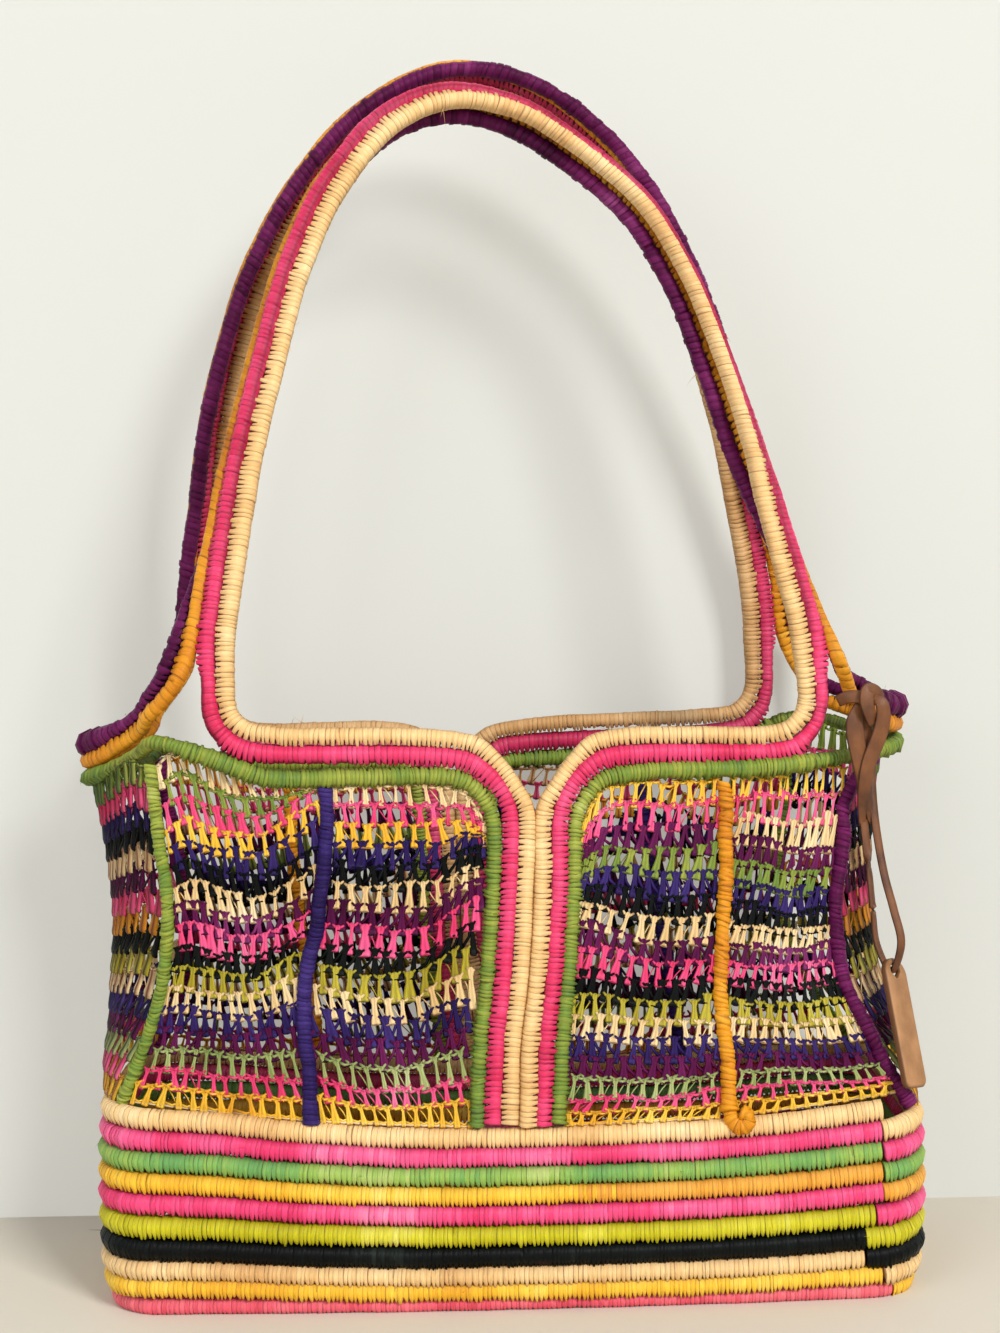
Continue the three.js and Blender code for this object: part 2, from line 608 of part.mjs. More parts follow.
for (const [label, face] of Object.entries(FACES)) {
  for (const side of [-1, 1]) {
    const turned = -face.sign * side;
    const row = turned < 0 ? MID_RIBS[0] : MID_RIBS[1];
    const turn = -face.sign;
    const midRow = { foot: turn * row.foot, knee: turn * row.knee, head: turn * row.head };
    const sideName = side < 0 ? 'left' : 'right';
    const corner = CORNERS.find((one) => one.label === `${label}_${sideName}`);
    facePanels(label, face, side, midRow, corner).forEach((surface, index) => {
      add(`net_${label}_${sideName}_${index === 0 ? 'inner' : 'outer'}`, sheet(surface), COLOR.net);
    });
  }
}

// The side panels, from corner rib to corner rib under the ear.
function sidePanel(side) {
  const ear = side < 0 ? LEFT_EAR : RIGHT_EAR;
  const name = side < 0 ? 'left' : 'right';
  const [front, back] = ['front', 'back'].map((label) => {
    const corner = CORNERS.find((one) => one.label === `${label}_${name}`);
    return cornerStations(corner).map(({ y, z }) => v2(y - Math.sign(y) * cornerGap, z));
  });
  const under = RIM.coil / 2 + NET.earClear;
  const top = [front[front.length - 1], ...ear.map(({ y, green }) => v2(y, green - under)), back[back.length - 1]];
  const stepY = wallPlan(WALL_COILS[LEVEL_TOP].inset)[0].y;
  const bottom = RIB_SHARES.map((share) => {
    const y = mix(front[0].x, back[0].x, share);
    const below = side > 0 ? 1 - ease((y - stepY) * 1.15, 0, WALL.climb) : 0;
    return v2(y, wallTop(WALL.halfWidth) - below * WALL.cornerPitch + NET.sideSeat);
  });
  for (const [edge, low, high] of [[front, 0, 0], [back, bottom.length - 1, top.length - 1]]) {
    edge[0] = bottom[low];
    edge[edge.length - 1].y -= NET.earClear;
    top[high] = edge[edge.length - 1];
  }
  const flat = patch(bottom, top, front, back);
  return (u, v) => {
    const { x: y, y: z } = flat(side < 0 ? 1 - u : u, v);
    return twisted(v3(side * sideDistance(y, z), y, z));
  };
}
add('net_side_left', sheet(sidePanel(-1), NET.sideAcross), COLOR.net);
add('net_side_right', sheet(sidePanel(1), NET.sideAcross), COLOR.net);

// ---- the leather tie ----------------------------------------------------------------------
// Knotted over the right ear; its two strands run down through the hole of a bare tag.
const TIE = {
  knot: { x: 136.4, y: -30.9, z: 205.1, width: 15, height: 19, depth: 7 },
  tail: { x: 132.3, y: -33.5, z: 182.8, width: 5.5, height: 22, depth: 1.6 },
  thong: 3.2,
};
const TAG = {
  top: { x: 143.5, y: -36, z: 123 }, // middle of its top edge
  foot: { x: 148.6, y: -50.5, z: 77.5 }, // middle of its lower edge
  width: 12, thickness: 2.6, corner: 2.5,
  holeRadius: 2.8, holeDown: 4.8,
  turn: 38, // its face turned away to the right, degrees
};
// From the knot down behind the tag, through its hole and back up in front of it.
const THONG_DOWN = [
  { x: 134.2, y: -30.1, z: 204.8 }, { x: 134, y: -30.2, z: 192 }, { x: 134.6, y: -30.8, z: 170 },
  { x: 136.6, y: -32.2, z: 148 }, { x: 139.4, y: -33, z: 131 },
];
const THONG_UP = [
  { x: 146.8, y: -39.8, z: 129 }, { x: 145.4, y: -38.6, z: 138 }, { x: 142.2, y: -36, z: 152 },
  { x: 139.4, y: -33, z: 172 }, { x: 138.5, y: -31, z: 188 }, { x: 138.6, y: -30.1, z: 204.8 },
];

function tieBlock(name, { x, y, z, width, height, depth }) {
  const half = width / 2;
  const round = Math.min(half, height / 2) * 0.6;
  const outline = new THREE.Shape();
  outline.moveTo(-half + round, 0);
  outline.lineTo(half - round, 0);
  outline.quadraticCurveTo(half, 0, half, round);
  outline.lineTo(half, height - round);
  outline.quadraticCurveTo(half, height, half - round, height);
  outline.lineTo(-half + round, height);
  outline.quadraticCurveTo(-half, height, -half, height - round);
  outline.lineTo(-half, round);
  outline.quadraticCurveTo(-half, 0, -half + round, 0);
  const geometry = new THREE.ExtrudeGeometry(outline, { depth, bevelEnabled: false, curveSegments: 3 });
  const mesh = add(name, geometry, COLOR.leather, 0.6);
  mesh.rotation.x = Math.PI / 2;
  mesh.position.set(x, y + depth / 2, z);
}
tieBlock('tie_knot', TIE.knot);
tieBlock('tie_tail', TIE.tail);

// The tag's own axes: its length downwards, its face outwards and its width.
function tagFrame() {
  const top = place(TAG.top);
  const down = place(TAG.foot).sub(top);
  const length = down.length();
  down.normalize();
  const out = v3(Math.sin(rad(TAG.turn)), -Math.cos(rad(TAG.turn)), 0);
  out.addScaledVector(down, -out.dot(down)).normalize();
  const across = v3().crossVectors(down, out).negate();
  return { top, down, out, across, length };
}

function thong() {
  const { top, down, out } = tagFrame();
  const hole = top.clone().addScaledVector(down, TAG.holeDown);
  const beside = (distance) => hole.clone().addScaledVector(out, distance).add(v3(0, 0, 2.6));
  const route = [...THONG_DOWN.map(place), beside(-4.4), hole, beside(4), ...THONG_UP.map(place)];
  const curve = new THREE.CatmullRomCurve3(route, false, 'centripetal');
  return coil(curve.getPoints(24), TIE.thong);
}
add('tie_thong', thong(), COLOR.leather, 0.6);

function makeTag() {
  const { top, down, out, across, length } = tagFrame();
  const half = TAG.width / 2;
  const outline = new THREE.Shape();
  outline.moveTo(-half, -length + TAG.corner);
  outline.quadraticCurveTo(-half, -length, -half + TAG.corner, -length);
  outline.lineTo(half - TAG.corner, -length);
  outline.quadraticCurveTo(half, -length, half, -length + TAG.corner);
  outline.lineTo(half, -half);
  outline.absarc(0, -half, half, 0, Math.PI, false);
  const hole = new THREE.Path();
  hole.absarc(0, -TAG.holeDown, TAG.holeRadius, 0, 2 * Math.PI, true);
  outline.holes.push(hole);
  const geometry = new THREE.ExtrudeGeometry(outline, {
    depth: TAG.thickness, bevelEnabled: false, curveSegments: 5,
  });
  geometry.translate(0, 0, -TAG.thickness / 2);
  const mesh = add('tie_tag', geometry, COLOR.leather, 0.6);
  mesh.quaternion.setFromRotationMatrix(new THREE.Matrix4().makeBasis(across, down.clone().negate(), out));
  mesh.position.copy(top);
}
makeTag();

export default bag;
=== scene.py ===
"""Open-weave raffia tote bag: coiled base, net sides between wrapped ribs, two tall handles of
wrapped coils and a leather tie. Tables and shape functions are in millimetres; meshes are made
in metres."""
import math

import bpy
import numpy as np
from mathutils import Matrix, Vector


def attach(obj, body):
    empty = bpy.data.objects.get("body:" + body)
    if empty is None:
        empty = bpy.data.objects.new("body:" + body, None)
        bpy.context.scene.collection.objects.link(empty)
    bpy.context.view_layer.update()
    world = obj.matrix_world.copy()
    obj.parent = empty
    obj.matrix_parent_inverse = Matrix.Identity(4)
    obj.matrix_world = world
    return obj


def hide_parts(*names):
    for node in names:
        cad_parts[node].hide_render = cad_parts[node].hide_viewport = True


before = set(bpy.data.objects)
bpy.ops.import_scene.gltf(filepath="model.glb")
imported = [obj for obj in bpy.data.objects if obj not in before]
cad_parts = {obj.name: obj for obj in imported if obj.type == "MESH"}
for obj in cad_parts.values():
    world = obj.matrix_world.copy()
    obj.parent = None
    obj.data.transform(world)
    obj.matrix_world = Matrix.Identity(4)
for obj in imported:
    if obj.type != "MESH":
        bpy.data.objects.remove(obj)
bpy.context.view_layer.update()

MM = 0.001

# ---- driving dimensions ---------------------------------------------------------------------
# The coiled base, to the middle of its widest coil. bow is how far its long sides stand out, climb
# the length over which a coil rises off the one below, and break_gap the gap where it stops.
WALL = {
    "half_width": 151.8, "half_depth": 51.5, "bow": 5, "corner": 18, "least_corner": 3, "coil": 6.2,
    "middle_pitch": 6.65, "corner_pitch": 7.2, "step_angle": 2, "climb": 84, "break_gap": 0.4,
}
# The coils of the base from the floor up. Columns: node, straw, how far it is drawn in from the
# widest one, how far it sits off its even height, its thickness against the others, and where it
# stops at the step.
WALL_COILS = [
    ("wall_coil_01_salmon", "salmon", 4.2, 0, 1.05, 6),
    ("wall_coil_02_yellow", "yellow", 1.6, -1.5, 1.04, 1),
    ("wall_coil_03_natural", "natural", 0.9, -2.2, 1.08, -6),
    ("wall_coil_04_black", "black", 0.7, -1.9, 1.17, -6),
    ("wall_coil_05_lime", "lime", 0.3, -1, 1.12, -2.5),
    ("wall_coil_06_pink", "pink", 0, 0, 1.06, 0),
    ("wall_coil_07_orange", "yellow", 0, 0.4, 1.05, 0),
    ("wall_coil_08_green", "green", 0, 0.7, 1.05, 0),
    ("wall_coil_09_pink", "pink", 0.4, 0.9, 1.05, 0),
    ("wall_coil_10_natural", "natural", 1, 1, 1.05, 1),
]
_, _, INSETS, LIFTS, THICKNESSES, STOPS = zip(*WALL_COILS)
LEVEL_TOP = len(WALL_COILS) - 1
# The flat spiral of the floor, between the lowest coil and its own middle.
FLOOR = {
    "pitch": 6.35, "turns": 6, "steps": 120, "from_wall": 6.6, "innermost": 46.5, "middle_z": 3,
    "coil": 6, "strip": 5,
}
# The lowest coils follow the bend of the base only in part.
BEND_LOW = 0.45
# The base is bent up towards its ends. Columns: x, lift of the top coil.
BEND = np.array([
    (-154, 4.4), (-142, 4.4), (-127, 4.2), (-109, 4.0), (-87, 2.2), (-65, 1.1), (-43, 0.2), (-20, 0),
    (68, 0), (89, 0.4), (111, 1.3), (125, 2.2), (138, 2.6), (154, 2.6),
])
# The rim and the coils up the centre. pitch is from coil to coil there, drop from coil to coil
# along the rim, seat the gap to the base, and depth from the middle of the bag to the rim. The mouth
# is turned by twist degrees and moved over by shift. The green coil stands green_apart further out
# below the height apart_below under the rim.
RIM = {
    "pitch": 6.2, "drop": 7.1, "seat": 1, "coil": 5.3, "depth": 43, "front_z": 208.1, "back_z": 209,
    "notch_radius": 22, "foot_radius": 13, "twist": 6, "shift": -3.2, "inner_close": 0.4,
    "column_squeeze": 0.96, "green_apart": 0.3, "apart_below": 15, "back_lean": 0.4,
}
# The base lies this far to the right.
BASE_SHIFT = 1.3
# The coils up the centre of the front lean over. Columns: z, shift.
COLUMN_LEAN = np.array([
    (66, -5), (72, -4.6), (90, -2.7), (108.6, 0.9), (127, 2.8), (145, 3.2), (206, 3.2),
])
# Where the coils of the front turn out of the notch: across from its middle, down from the rim.
# One row for each coil from the top one.
NOTCH = np.array([
    [(3, 25.6), (7.8, 17.4), (14.8, 8.2), (23.5, 1.2)],
    [(9, 27.6), (12, 19.6), (17.6, 12.8), (27, 7.3)],
    [(15.2, 29.6), (17.6, 24), (22.6, 17.8), (31, 14.2)],
])

# Handle top coil from the left foot to the right foot, and the way each further coil stands off
# the one before it: degrees from straight outwards round towards the other handle.
# Columns: x, z, pink, orange, purple.
FRONT_ARCH = [
    (-104.5, 226, 2, 12, 24), (-104.5, 243, 2, 15, 35), (-102, 262, 5, 30, 75),
    (-98, 288, 5, 50, 110), (-93.5, 313, -5, 60, 130), (-86, 344, -10, 65, 140),
    (-75, 384, -12, 68, 146), (-60, 416.5, -5, 75, 155), (-40, 441, 12, 92, 172),
    (-18, 451.5, 33, 113, 193), (8, 448.5, 46, 126, 206), (34, 433.5, 52, 132, 212),
    (57, 413.5, 55, 135, 215), (74, 385, 58, 138, 218), (87, 349, 58, 135, 212),
    (95, 318, 45, 115, 185), (100.5, 290, 20, 85, 140), (105, 270, 5, 70, 115),
    (109.8, 250, 2, 44, 100), (113.3, 226, 2, 12, 24),
]
BACK_ARCH = [
    (-105, 228, 2, 12, 24), (-107, 246, 0, 20, 50), (-108.5, 270, -5, 40, 80),
    (-107, 300, -12, 55, 95), (-103.5, 330, -15, 60, 97), (-98, 356, -18, 64, 100),
    (-88, 388, -20, 68, 103), (-71, 419, -15, 66, 108), (-46, 448, -5, 68, 112),
    (-14, 464.5, 0, 72, 114), (14, 460.5, 5, 78, 105), (42, 441, 8, 80, 95),
    (62, 417, 5, 80, 95), (79, 387, 0, 75, 100), (91, 357, 0, 72, 100), (101, 325, 0, 65, 95),
    (107.5, 297, 0, 50, 80), (113.3, 270, 2, 12, 45), (115.6, 250, 2, 4, 30),
    (116, 228, 2, 12, 24),
]
# Both handles lean in by lean from foot to top, and are drawn in by tuck at their feet.
ARCH = {
    "foot": 210, "top": 450, "lean": 27, "pitch": 6.5, "tuck": 2.9, "tuck_from": 264, "tuck_to": 222,
}

SIDES = {-1: "left", 1: "right"}
# Heights of the three coils round each side of the mouth. Columns: x, y, green, orange, purple.
EARS = {
    -1: np.array([
        (-135.9, -27.5, 204.4, 212.4, 219.4), (-144.4, -18.5, 199.4, 206.2, 212.7),
        (-152.4, -9.5, 195.4, 201.8, 208.2), (-157.4, 0, 193.4, 199.8, 206.2),
        (-152.4, 9.5, 193.9, 200.4, 206.9), (-144.4, 18.5, 195.4, 203.4, 210.4),
        (-135.9, 27.5, 198.4, 209.9, 217.4),
    ]),
    1: np.array([
        (143.2, -27.5, 199.5, 217, 224.5), (151.2, -18.5, 200, 212.2, 219.8),
        (159.2, -9.5, 201.3, 209.6, 217.2), (164.2, 0, 203.3, 210.3, 217.8),
        (159.2, 9.5, 205.5, 212, 219.3), (151.2, 18.5, 208.2, 215, 222),
        (143.2, 27.5, 211, 219.5, 226.8),
    ]),
}
# The green coil between the straight rim and the ear, walking outwards.
GREEN_CORNERS = {
    "front_left": [(-91, -43, 195.2), (-101, -43, 198.6), (-112, -42.5, 203), (-123, -40.5, 206.8),
                   (-131.5, -35, 207.8)],
    "front_right": [(91, -43, 195.4), (101, -43, 195.8), (112, -42.5, 197), (123, -40.5, 198.2),
                    (131.5, -35, 199)],
    "back_left": [(-91, 43, 195.2), (-101, 43, 196), (-112, 42.5, 198), (-123, 40.5, 201.4),
                  (-131.5, 35, 202.4)],
    "back_right": [(91, 43, 197.5), (101, 43, 199), (112, 42.5, 202), (123, 40.5, 207.8),
                   (131.5, 35, 211.5)],
}
# The two outer handle coils between the ear and the handle, walking up from the ear.
FEET = {
    "front_left": {
        "orange": [(-132.5, -36, 217.8), (-126.5, -40.8, 224.3), (-121.5, -42.3, 231.8)],
        "purple": [(-132.5, -31.5, 224.8), (-128, -35.5, 231.8), (-124.9, -37.2, 239)],
    },
    "front_right": {
        "orange": [(133.5, -36.5, 222), (129, -41, 229.5), (126, -42, 236)],
        "purple": [(132, -31, 230.5), (128.6, -33.5, 236.5), (125.6, -33, 242.5)],
    },
    "back_left": {
        "orange": [(-132.5, 36.5, 218), (-126.5, 41, 226.5), (-121.5, 42.3, 234.5)],
        "purple": [(-132.5, 31.2, 224.6), (-128, 35.5, 231.8), (-125.8, 37.2, 239)],
    },
    "back_right": {
        "orange": [(140, 34, 225), (137, 38.5, 231), (133.5, 41, 238.5)],
        "purple": [(142, 29.5, 232), (140.5, 33, 239), (138.8, 35.5, 246.5)],
    },
}
# Where the net turns the corner and how far its sides stand out. Columns: z, x, y, side, blunt.
CORNER_PROFILE = [
    (66, 149.5, 42, 154, 3.6), (75, 145.5, 45, 154.5, 3.4), (87, 139, 46.5, 154.5, 2.9),
    (100, 132.5, 44.8, 151.5, 2.5), (120, 126.2, 43, 149, 2.2), (140, 124.3, 42, 148, 2),
    (160, 126.5, 41, 149.5, 1.8), (180, 130, 39, 152.5, 1.5), (200, 132.5, 35.5, 157.5, 1.3),
]
# Gaps from a rib to the net and to the base, how far its foot reaches down past that, and the
# shares of its height at which it bends.
RIB = {
    "width": 5.8, "clear": 0.45, "corner_clear": 1.5, "seat": 1, "foot_seat": 1.8, "sink": 1.6,
    "corner_sink": 1.5, "long_foot_sink": 7.5, "knee": 0.4, "head_from": 0.75,
}
RIB_SHARES = [0, 0.2, 0.4, 0.6, 0.8, 1]
# Columns: straw, foot, knee, head, along the front; the back is the front turned round.
MID_RIBS = [("violet", -74.5, -74.2, -68.7), ("orange", 78, 79, 80.5)]
# The two faces. lift is how far each end of the rim rises towards its handle foot, lean tells if
# the centre column leans over, and column gives the heights of its points as shares.
FACES = {
    "front": {
        "sign": -1, "rim_z": RIM["front_z"], "lift": (3, 0.5), "notch_x": 5, "arch": FRONT_ARCH,
        "lean": 1, "column": (0, 0.25, 0.5, 0.78),
    },
    "back": {
        "sign": 1, "rim_z": RIM["back_z"], "lift": (0.5, 4.5), "notch_x": -12, "arch": BACK_ARCH,
        "lean": 0, "column": (0, 0.2, 0.4, 0.6),
    },
}
# Columns: label, side, face, straw, top.
CORNERS = {
    "front_left": (-1, "front", "green", 199.5), "front_right": (1, "front", "purple", 195),
    "back_left": (-1, "back", "purple", 198.2), "back_right": (1, "back", "green", 207),
}


# ---- curves and tables ----------------------------------------------------------------------
def mix(a, b, share):
    return a + (b - a) * share


def ease(value, low, high):
    t = np.clip((np.asarray(value, float) - low) / (high - low), 0, 1)
    return t * t * (3 - 2 * t)


def arc(x, y, radius, start, stop, count):
    """Points round a middle, between two angles in degrees."""
    angles = np.radians(np.linspace(start, stop, count))
    return np.column_stack([x + radius * np.cos(angles), y + radius * np.sin(angles)])


def rounded(points, steps=8):
    """A smooth curve through the points, with the same number of steps in each span."""
    p = np.asarray(points, float)
    before = np.vstack([2 * p[0] - p[1], p[:-2]])
    after = np.vstack([p[2:], 2 * p[-1] - p[-2]])
    low, high = p[:-1], p[1:]

    def knot(a, b):
        return np.sqrt(np.linalg.norm(b - a, axis=1) + 1e-9)[:, None]

    d0, d1, d2 = knot(before, low), knot(low, high), knot(high, after)
    slope_low = (low - before) / d0 - (high - before) / (d0 + d1) + (high - low) / d1
    slope_high = (high - low) / d1 - (after - low) / (d1 + d2) + (after - high) / d2
    m0, m1 = slope_low * d1, slope_high * d1
    spans = []
    for t in np.arange(steps) / steps:
        h00, h10 = 2 * t ** 3 - 3 * t ** 2 + 1, t ** 3 - 2 * t ** 2 + t
        h01, h11 = -2 * t ** 3 + 3 * t ** 2, t ** 3 - t ** 2
        spans.append(h00 * low + h10 * m0 + h01 * high + h11 * m1)
    inner = np.stack(spans, axis=1).reshape(-1, p.shape[1])
    return np.vstack([inner, p[-1]])


def lengths_along(points):
    return np.concatenate([[0], np.cumsum(np.linalg.norm(np.diff(points, axis=0), axis=1))])


def at_lengths(points, wanted):
    """Points at the given distances along a curve."""
    walked = lengths_along(points)
    return np.stack([np.interp(wanted, walked, points[:, k]) for k in range(points.shape[1])], axis=1)


def along(points, share):
    return at_lengths(points, share * lengths_along(points)[-1])


def by_point(points, share):
    """Part of the way along a curve, counted by its own points."""
    place = share * (len(points) - 1)
    index = np.arange(len(points))
    return np.stack([np.interp(place, index, points[:, k]) for k in range(points.shape[1])], axis=1)


PROFILE = rounded(CORNER_PROFILE, 6)


def profile(z, column):
    return np.interp(z, PROFILE[:, 0], PROFILE[:, column])


def twisted(points):
    """The mouth of the bag is turned a little against the base, and moved over."""
    p = np.asarray(points, float)
    angle = math.radians(RIM["twist"]) * ease(p[..., 2], 70, 205)
    moved = mix(BASE_SHIFT, RIM["shift"], ease(p[..., 2], 70, 120))
    x = p[..., 0] * np.cos(angle) - p[..., 1] * np.sin(angle) + moved
    y = p[..., 0] * np.sin(angle) + p[..., 1] * np.cos(angle)
    return np.stack([x, y, p[..., 2]], axis=-1)


# ---- routes of the coils --------------------------------------------------------------------
def pitch_at(x):
    return mix(WALL["middle_pitch"], WALL["corner_pitch"], np.minimum(1, (x / WALL["half_width"]) ** 2))


def level_height(x, level):
    """Middle of a coil of the wall above the table. The level may lie between two coils."""
    share = np.where(level > 0.5, mix(BEND_LOW, 1, level / LEVEL_TOP), 0)
    bend = np.interp(x, BEND[:, 0], BEND[:, 1]) * share
    settled = np.interp(level, np.arange(LEVEL_TOP + 1), LIFTS)
    return WALL["coil"] / 2 + level * pitch_at(x) + settled + bend


def wall_top(x):
    return level_height(x, LEVEL_TOP) + WALL["coil"] / 2


def wall_plan(inset, fine=5):
    """Plan of one coil, walked from the step at the front right corner round by the back."""
    radius = max(WALL["least_corner"], WALL["corner"] - inset / 2)
    cx = WALL["half_width"] - inset - radius
    cy = WALL["half_depth"] - inset - radius
    step = WALL["step_angle"]
    # Columns: middle x and y, first and last angle, steps round it, pairs of steps to the next one.
    corners = [
        (cx, -cy, step - 90, 0, 3, 3), (cx, cy, 0, 90, 3, 4), (-cx, cy, 90, 180, 3, 1),
        (-cx, -cy, 180, 270, 3, 4), (cx, -cy, 270, 270 + step, 2, 0),
    ]
    spots = []
    for index, (x, y, start, stop, steps, follow) in enumerate(corners):
        spots.extend(arc(x, y, radius, start, stop, steps * fine + 1))
        if follow:
            goal = arc(*corners[index + 1][:2], radius, corners[index + 1][2], 0, 1)[0]
            spans = follow * fine * 2
            last = spots[-1]
            spots.extend(mix(last, goal, i / spans) for i in range(1, spans))
    plan = np.array(spots)
    bow = WALL["bow"] * (1 - np.minimum(1, (plan[:, 0] / WALL["half_width"]) ** 2))
    plan[:, 1] += np.sign(plan[:, 1]) * bow * ease(np.abs(plan[:, 1]), cy, cy + radius)
    return plan


def wall_route(level):
    before = max(0, level - 1)
    laid = []
    for inset in (INSETS[level], INSETS[before]):
        loop = wall_plan(inset)
        total = lengths_along(loop)[-1]
        start = total + (STOPS[before] if level else WALL["climb"])
        stop = 2 * total + STOPS[level] - WALL["break_gap"]
        walked = np.linspace(start, stop, len(loop))
        laid.append(at_lengths(np.vstack([loop, loop[1:], loop[1:]]), walked))
    below = 1 - ease(walked - start, 0, WALL["climb"]) if level else np.zeros(len(walked))
    plan = mix(laid[0], laid[1], below[:, None])
    return twisted(np.column_stack([plan, level_height(plan[:, 0], level - below)]))


def floor_route():
    """The flat spiral of the floor, wound inwards from the lowest coil of the wall."""
    spots = []
    for turned in np.arange(FLOOR["turns"] * FLOOR["steps"]) / FLOOR["steps"]:
        inset = INSETS[0] + FLOOR["from_wall"] + FLOOR["pitch"] * turned
        plan = wall_plan(min(inset, FLOOR["innermost"]), 2)
        spots.append(by_point(plan, np.array([turned % 1]))[0])
    route = np.column_stack([spots, np.full(len(spots), FLOOR["middle_z"])])
    return twisted(rounded(route[::3], 3))


def face_depth(x, z):
    """Distance of the front or back from the middle, at a place on it."""
    share = np.clip((z - CORNER_PROFILE[0][0]) / (RIM["front_z"] - CORNER_PROFILE[0][0]), 0, 1)
    middle = mix(WALL["half_depth"] + WALL["bow"], RIM["depth"], share)
    corner = np.minimum(1, np.abs(x / profile(z, 1)) ** 3)
    return mix(middle, profile(z, 2), corner)


def side_distance(y, z):
    """Distance of a side from the middle, at a place on it."""
    share = np.minimum(1, np.abs(y / profile(z, 2))) ** profile(z, 4)
    return mix(profile(z, 3), profile(z, 1), share)


def rim_half(face, order, side):
    """Centre column, notch and straight rim of a coil on one half of a face. Order 0 is the top
    coil, 1 the next and 2 the green one; side is -1 for left and 1 for right."""
    offset = order * RIM["pitch"]
    apart = RIM["green_apart"] * max(0, order - 1) * face["lean"] * (side < 0)
    inmost = RIM["pitch"] / 2 - RIM["inner_close"]
    column = face["notch_x"] + side * (inmost + offset * RIM["column_squeeze"] + apart)
    centre_x = face["notch_x"] + side * (RIM["pitch"] / 2 + RIM["notch_radius"])
    centre_z = face["rim_z"] - RIM["notch_radius"]
    inner = min(int(order), 1)
    turns = mix(NOTCH[inner], NOTCH[inner + 1], order - inner)
    turn_z = face["rim_z"] - turns[0, 1] if face["lean"] else centre_z
    foot = wall_top(column) + RIM["seat"]
    heights = mix(foot, turn_z, np.array(face["column"]))
    leans = face["lean"] * np.interp(heights, COLUMN_LEAN[:, 0], COLUMN_LEAN[:, 1])
    spots = list(np.column_stack([column + leans, heights]))
    if face["lean"]:
        middle = face["notch_x"] + COLUMN_LEAN[-1, 1]
        for across, down in turns:
            across += apart if down > RIM["apart_below"] else 0
            spots.append((middle + side * across, face["rim_z"] - down))
        return np.array(spots)
    wide = RIM["notch_radius"] - offset
    high = RIM["notch_radius"] - order * RIM["drop"]
    for angle in np.radians([0, 30, 60, 90]):
        lean = side * RIM["back_lean"] * math.cos(angle)
        spots.append((centre_x - side * wide * math.cos(angle) + lean, centre_z + high * math.sin(angle)))
    return np.array(spots)


def foot_turn(face, order, side):
    """The turn from the rim up into the handle, for the two inner coils."""
    foot = face["arch"][0] if side < 0 else face["arch"][-1]
    lift = face["lift"][0 if side < 0 else 1]
    centre_x = foot[0] - side * RIM["foot_radius"]
    centre_z = face["rim_z"] + lift + RIM["foot_radius"]
    wide = RIM["foot_radius"] + order * ARCH["pitch"]
    high = RIM["foot_radius"] + order * RIM["drop"]
    angles = np.radians([-90, -60, -30, 0])
    return np.column_stack([centre_x + side * wide * np.cos(angles), centre_z + high * np.sin(angles)])


def on_face(face, flat):
    x, z = flat[:, 0], flat[:, 1]
    depth = face_depth(np.minimum(np.abs(x), 100), z)
    return np.column_stack([x, face["sign"] * depth, z])


def arch_route(face, order):
    """One of the four handle coils over the arch, from left to right."""
    rows = np.array(face["arch"], float)
    before = rows[np.maximum(np.arange(len(rows)) - 1, 0), :2]
    after = rows[np.minimum(np.arange(len(rows)) + 1, len(rows) - 1), :2]
    run = (after - before) / np.linalg.norm(after - before, axis=1)[:, None]
    turned = np.radians(rows[:, 2:2 + order])
    out = ARCH["pitch"] * np.cos(turned).sum(axis=1)
    inward = ARCH["pitch"] * np.sin(turned).sum(axis=1)
    lean = RIM["depth"] - ARCH["lean"] * ease(rows[:, 1], ARCH["foot"], ARCH["top"])
    lean -= ARCH["tuck"] * ease(rows[:, 1], ARCH["tuck_from"], ARCH["tuck_to"])
    return np.column_stack([
        rows[:, 0] - run[:, 1] * out, face["sign"] * (lean - inward), rows[:, 1] + run[:, 0] * out,
    ])


def inner_route(face, order):
    """Natural and pink: up the centre, along the rim, over the handle and back down."""
    left = on_face(face, np.vstack([rim_half(face, order, -1), foot_turn(face, order, -1)]))
    right = on_face(face, np.vstack([rim_half(face, order, 1), foot_turn(face, order, 1)]))
    return rounded(twisted(np.vstack([left, arch_route(face, order), right[::-1]])))


def green_route(side):
    """Up the centre of the front, out along the rim, round the ear and back the same way."""
    front, back = (on_face(face, rim_half(face, 2, side)) for face in FACES.values())
    front_corner, back_corner = (GREEN_CORNERS[f"{label}_{SIDES[side]}"] for label in FACES)
    walk = [front, front_corner, EARS[side][:, :3], back_corner[::-1], back[::-1]]
    return rounded(twisted(np.vstack(walk)))


def ring_route(straw, order):
    """Orange and purple: one closed ring each, over both handles and round both ears."""
    column = 3 if straw == "orange" else 4
    left_ear, right_ear = (EARS[side][:, [0, 1, column]] for side in SIDES)
    ring = np.vstack([
        FEET["front_left"][straw], arch_route(FACES["front"], order)[1:-1],
        FEET["front_right"][straw][::-1], right_ear, FEET["back_right"][straw],
        arch_route(FACES["back"], order)[1:-1][::-1], FEET["back_left"][straw][::-1], left_ear[::-1],
    ])
    wrapped = np.vstack([ring[-2:], ring, ring[:2]])
    steps = 8
    return rounded(twisted(wrapped), steps)[2 * steps:-steps]


def rib_x(row, share):
    """A middle rib runs straight from its foot to its knee and bends over to its head."""
    foot, knee, head = row
    share = np.asarray(share, float)
    low = mix(foot, knee, share / RIB["knee"])
    high = mix(knee, head, ease(share, RIB["knee"], RIB["head_from"]))
    return np.where(share < RIB["knee"], low, high)


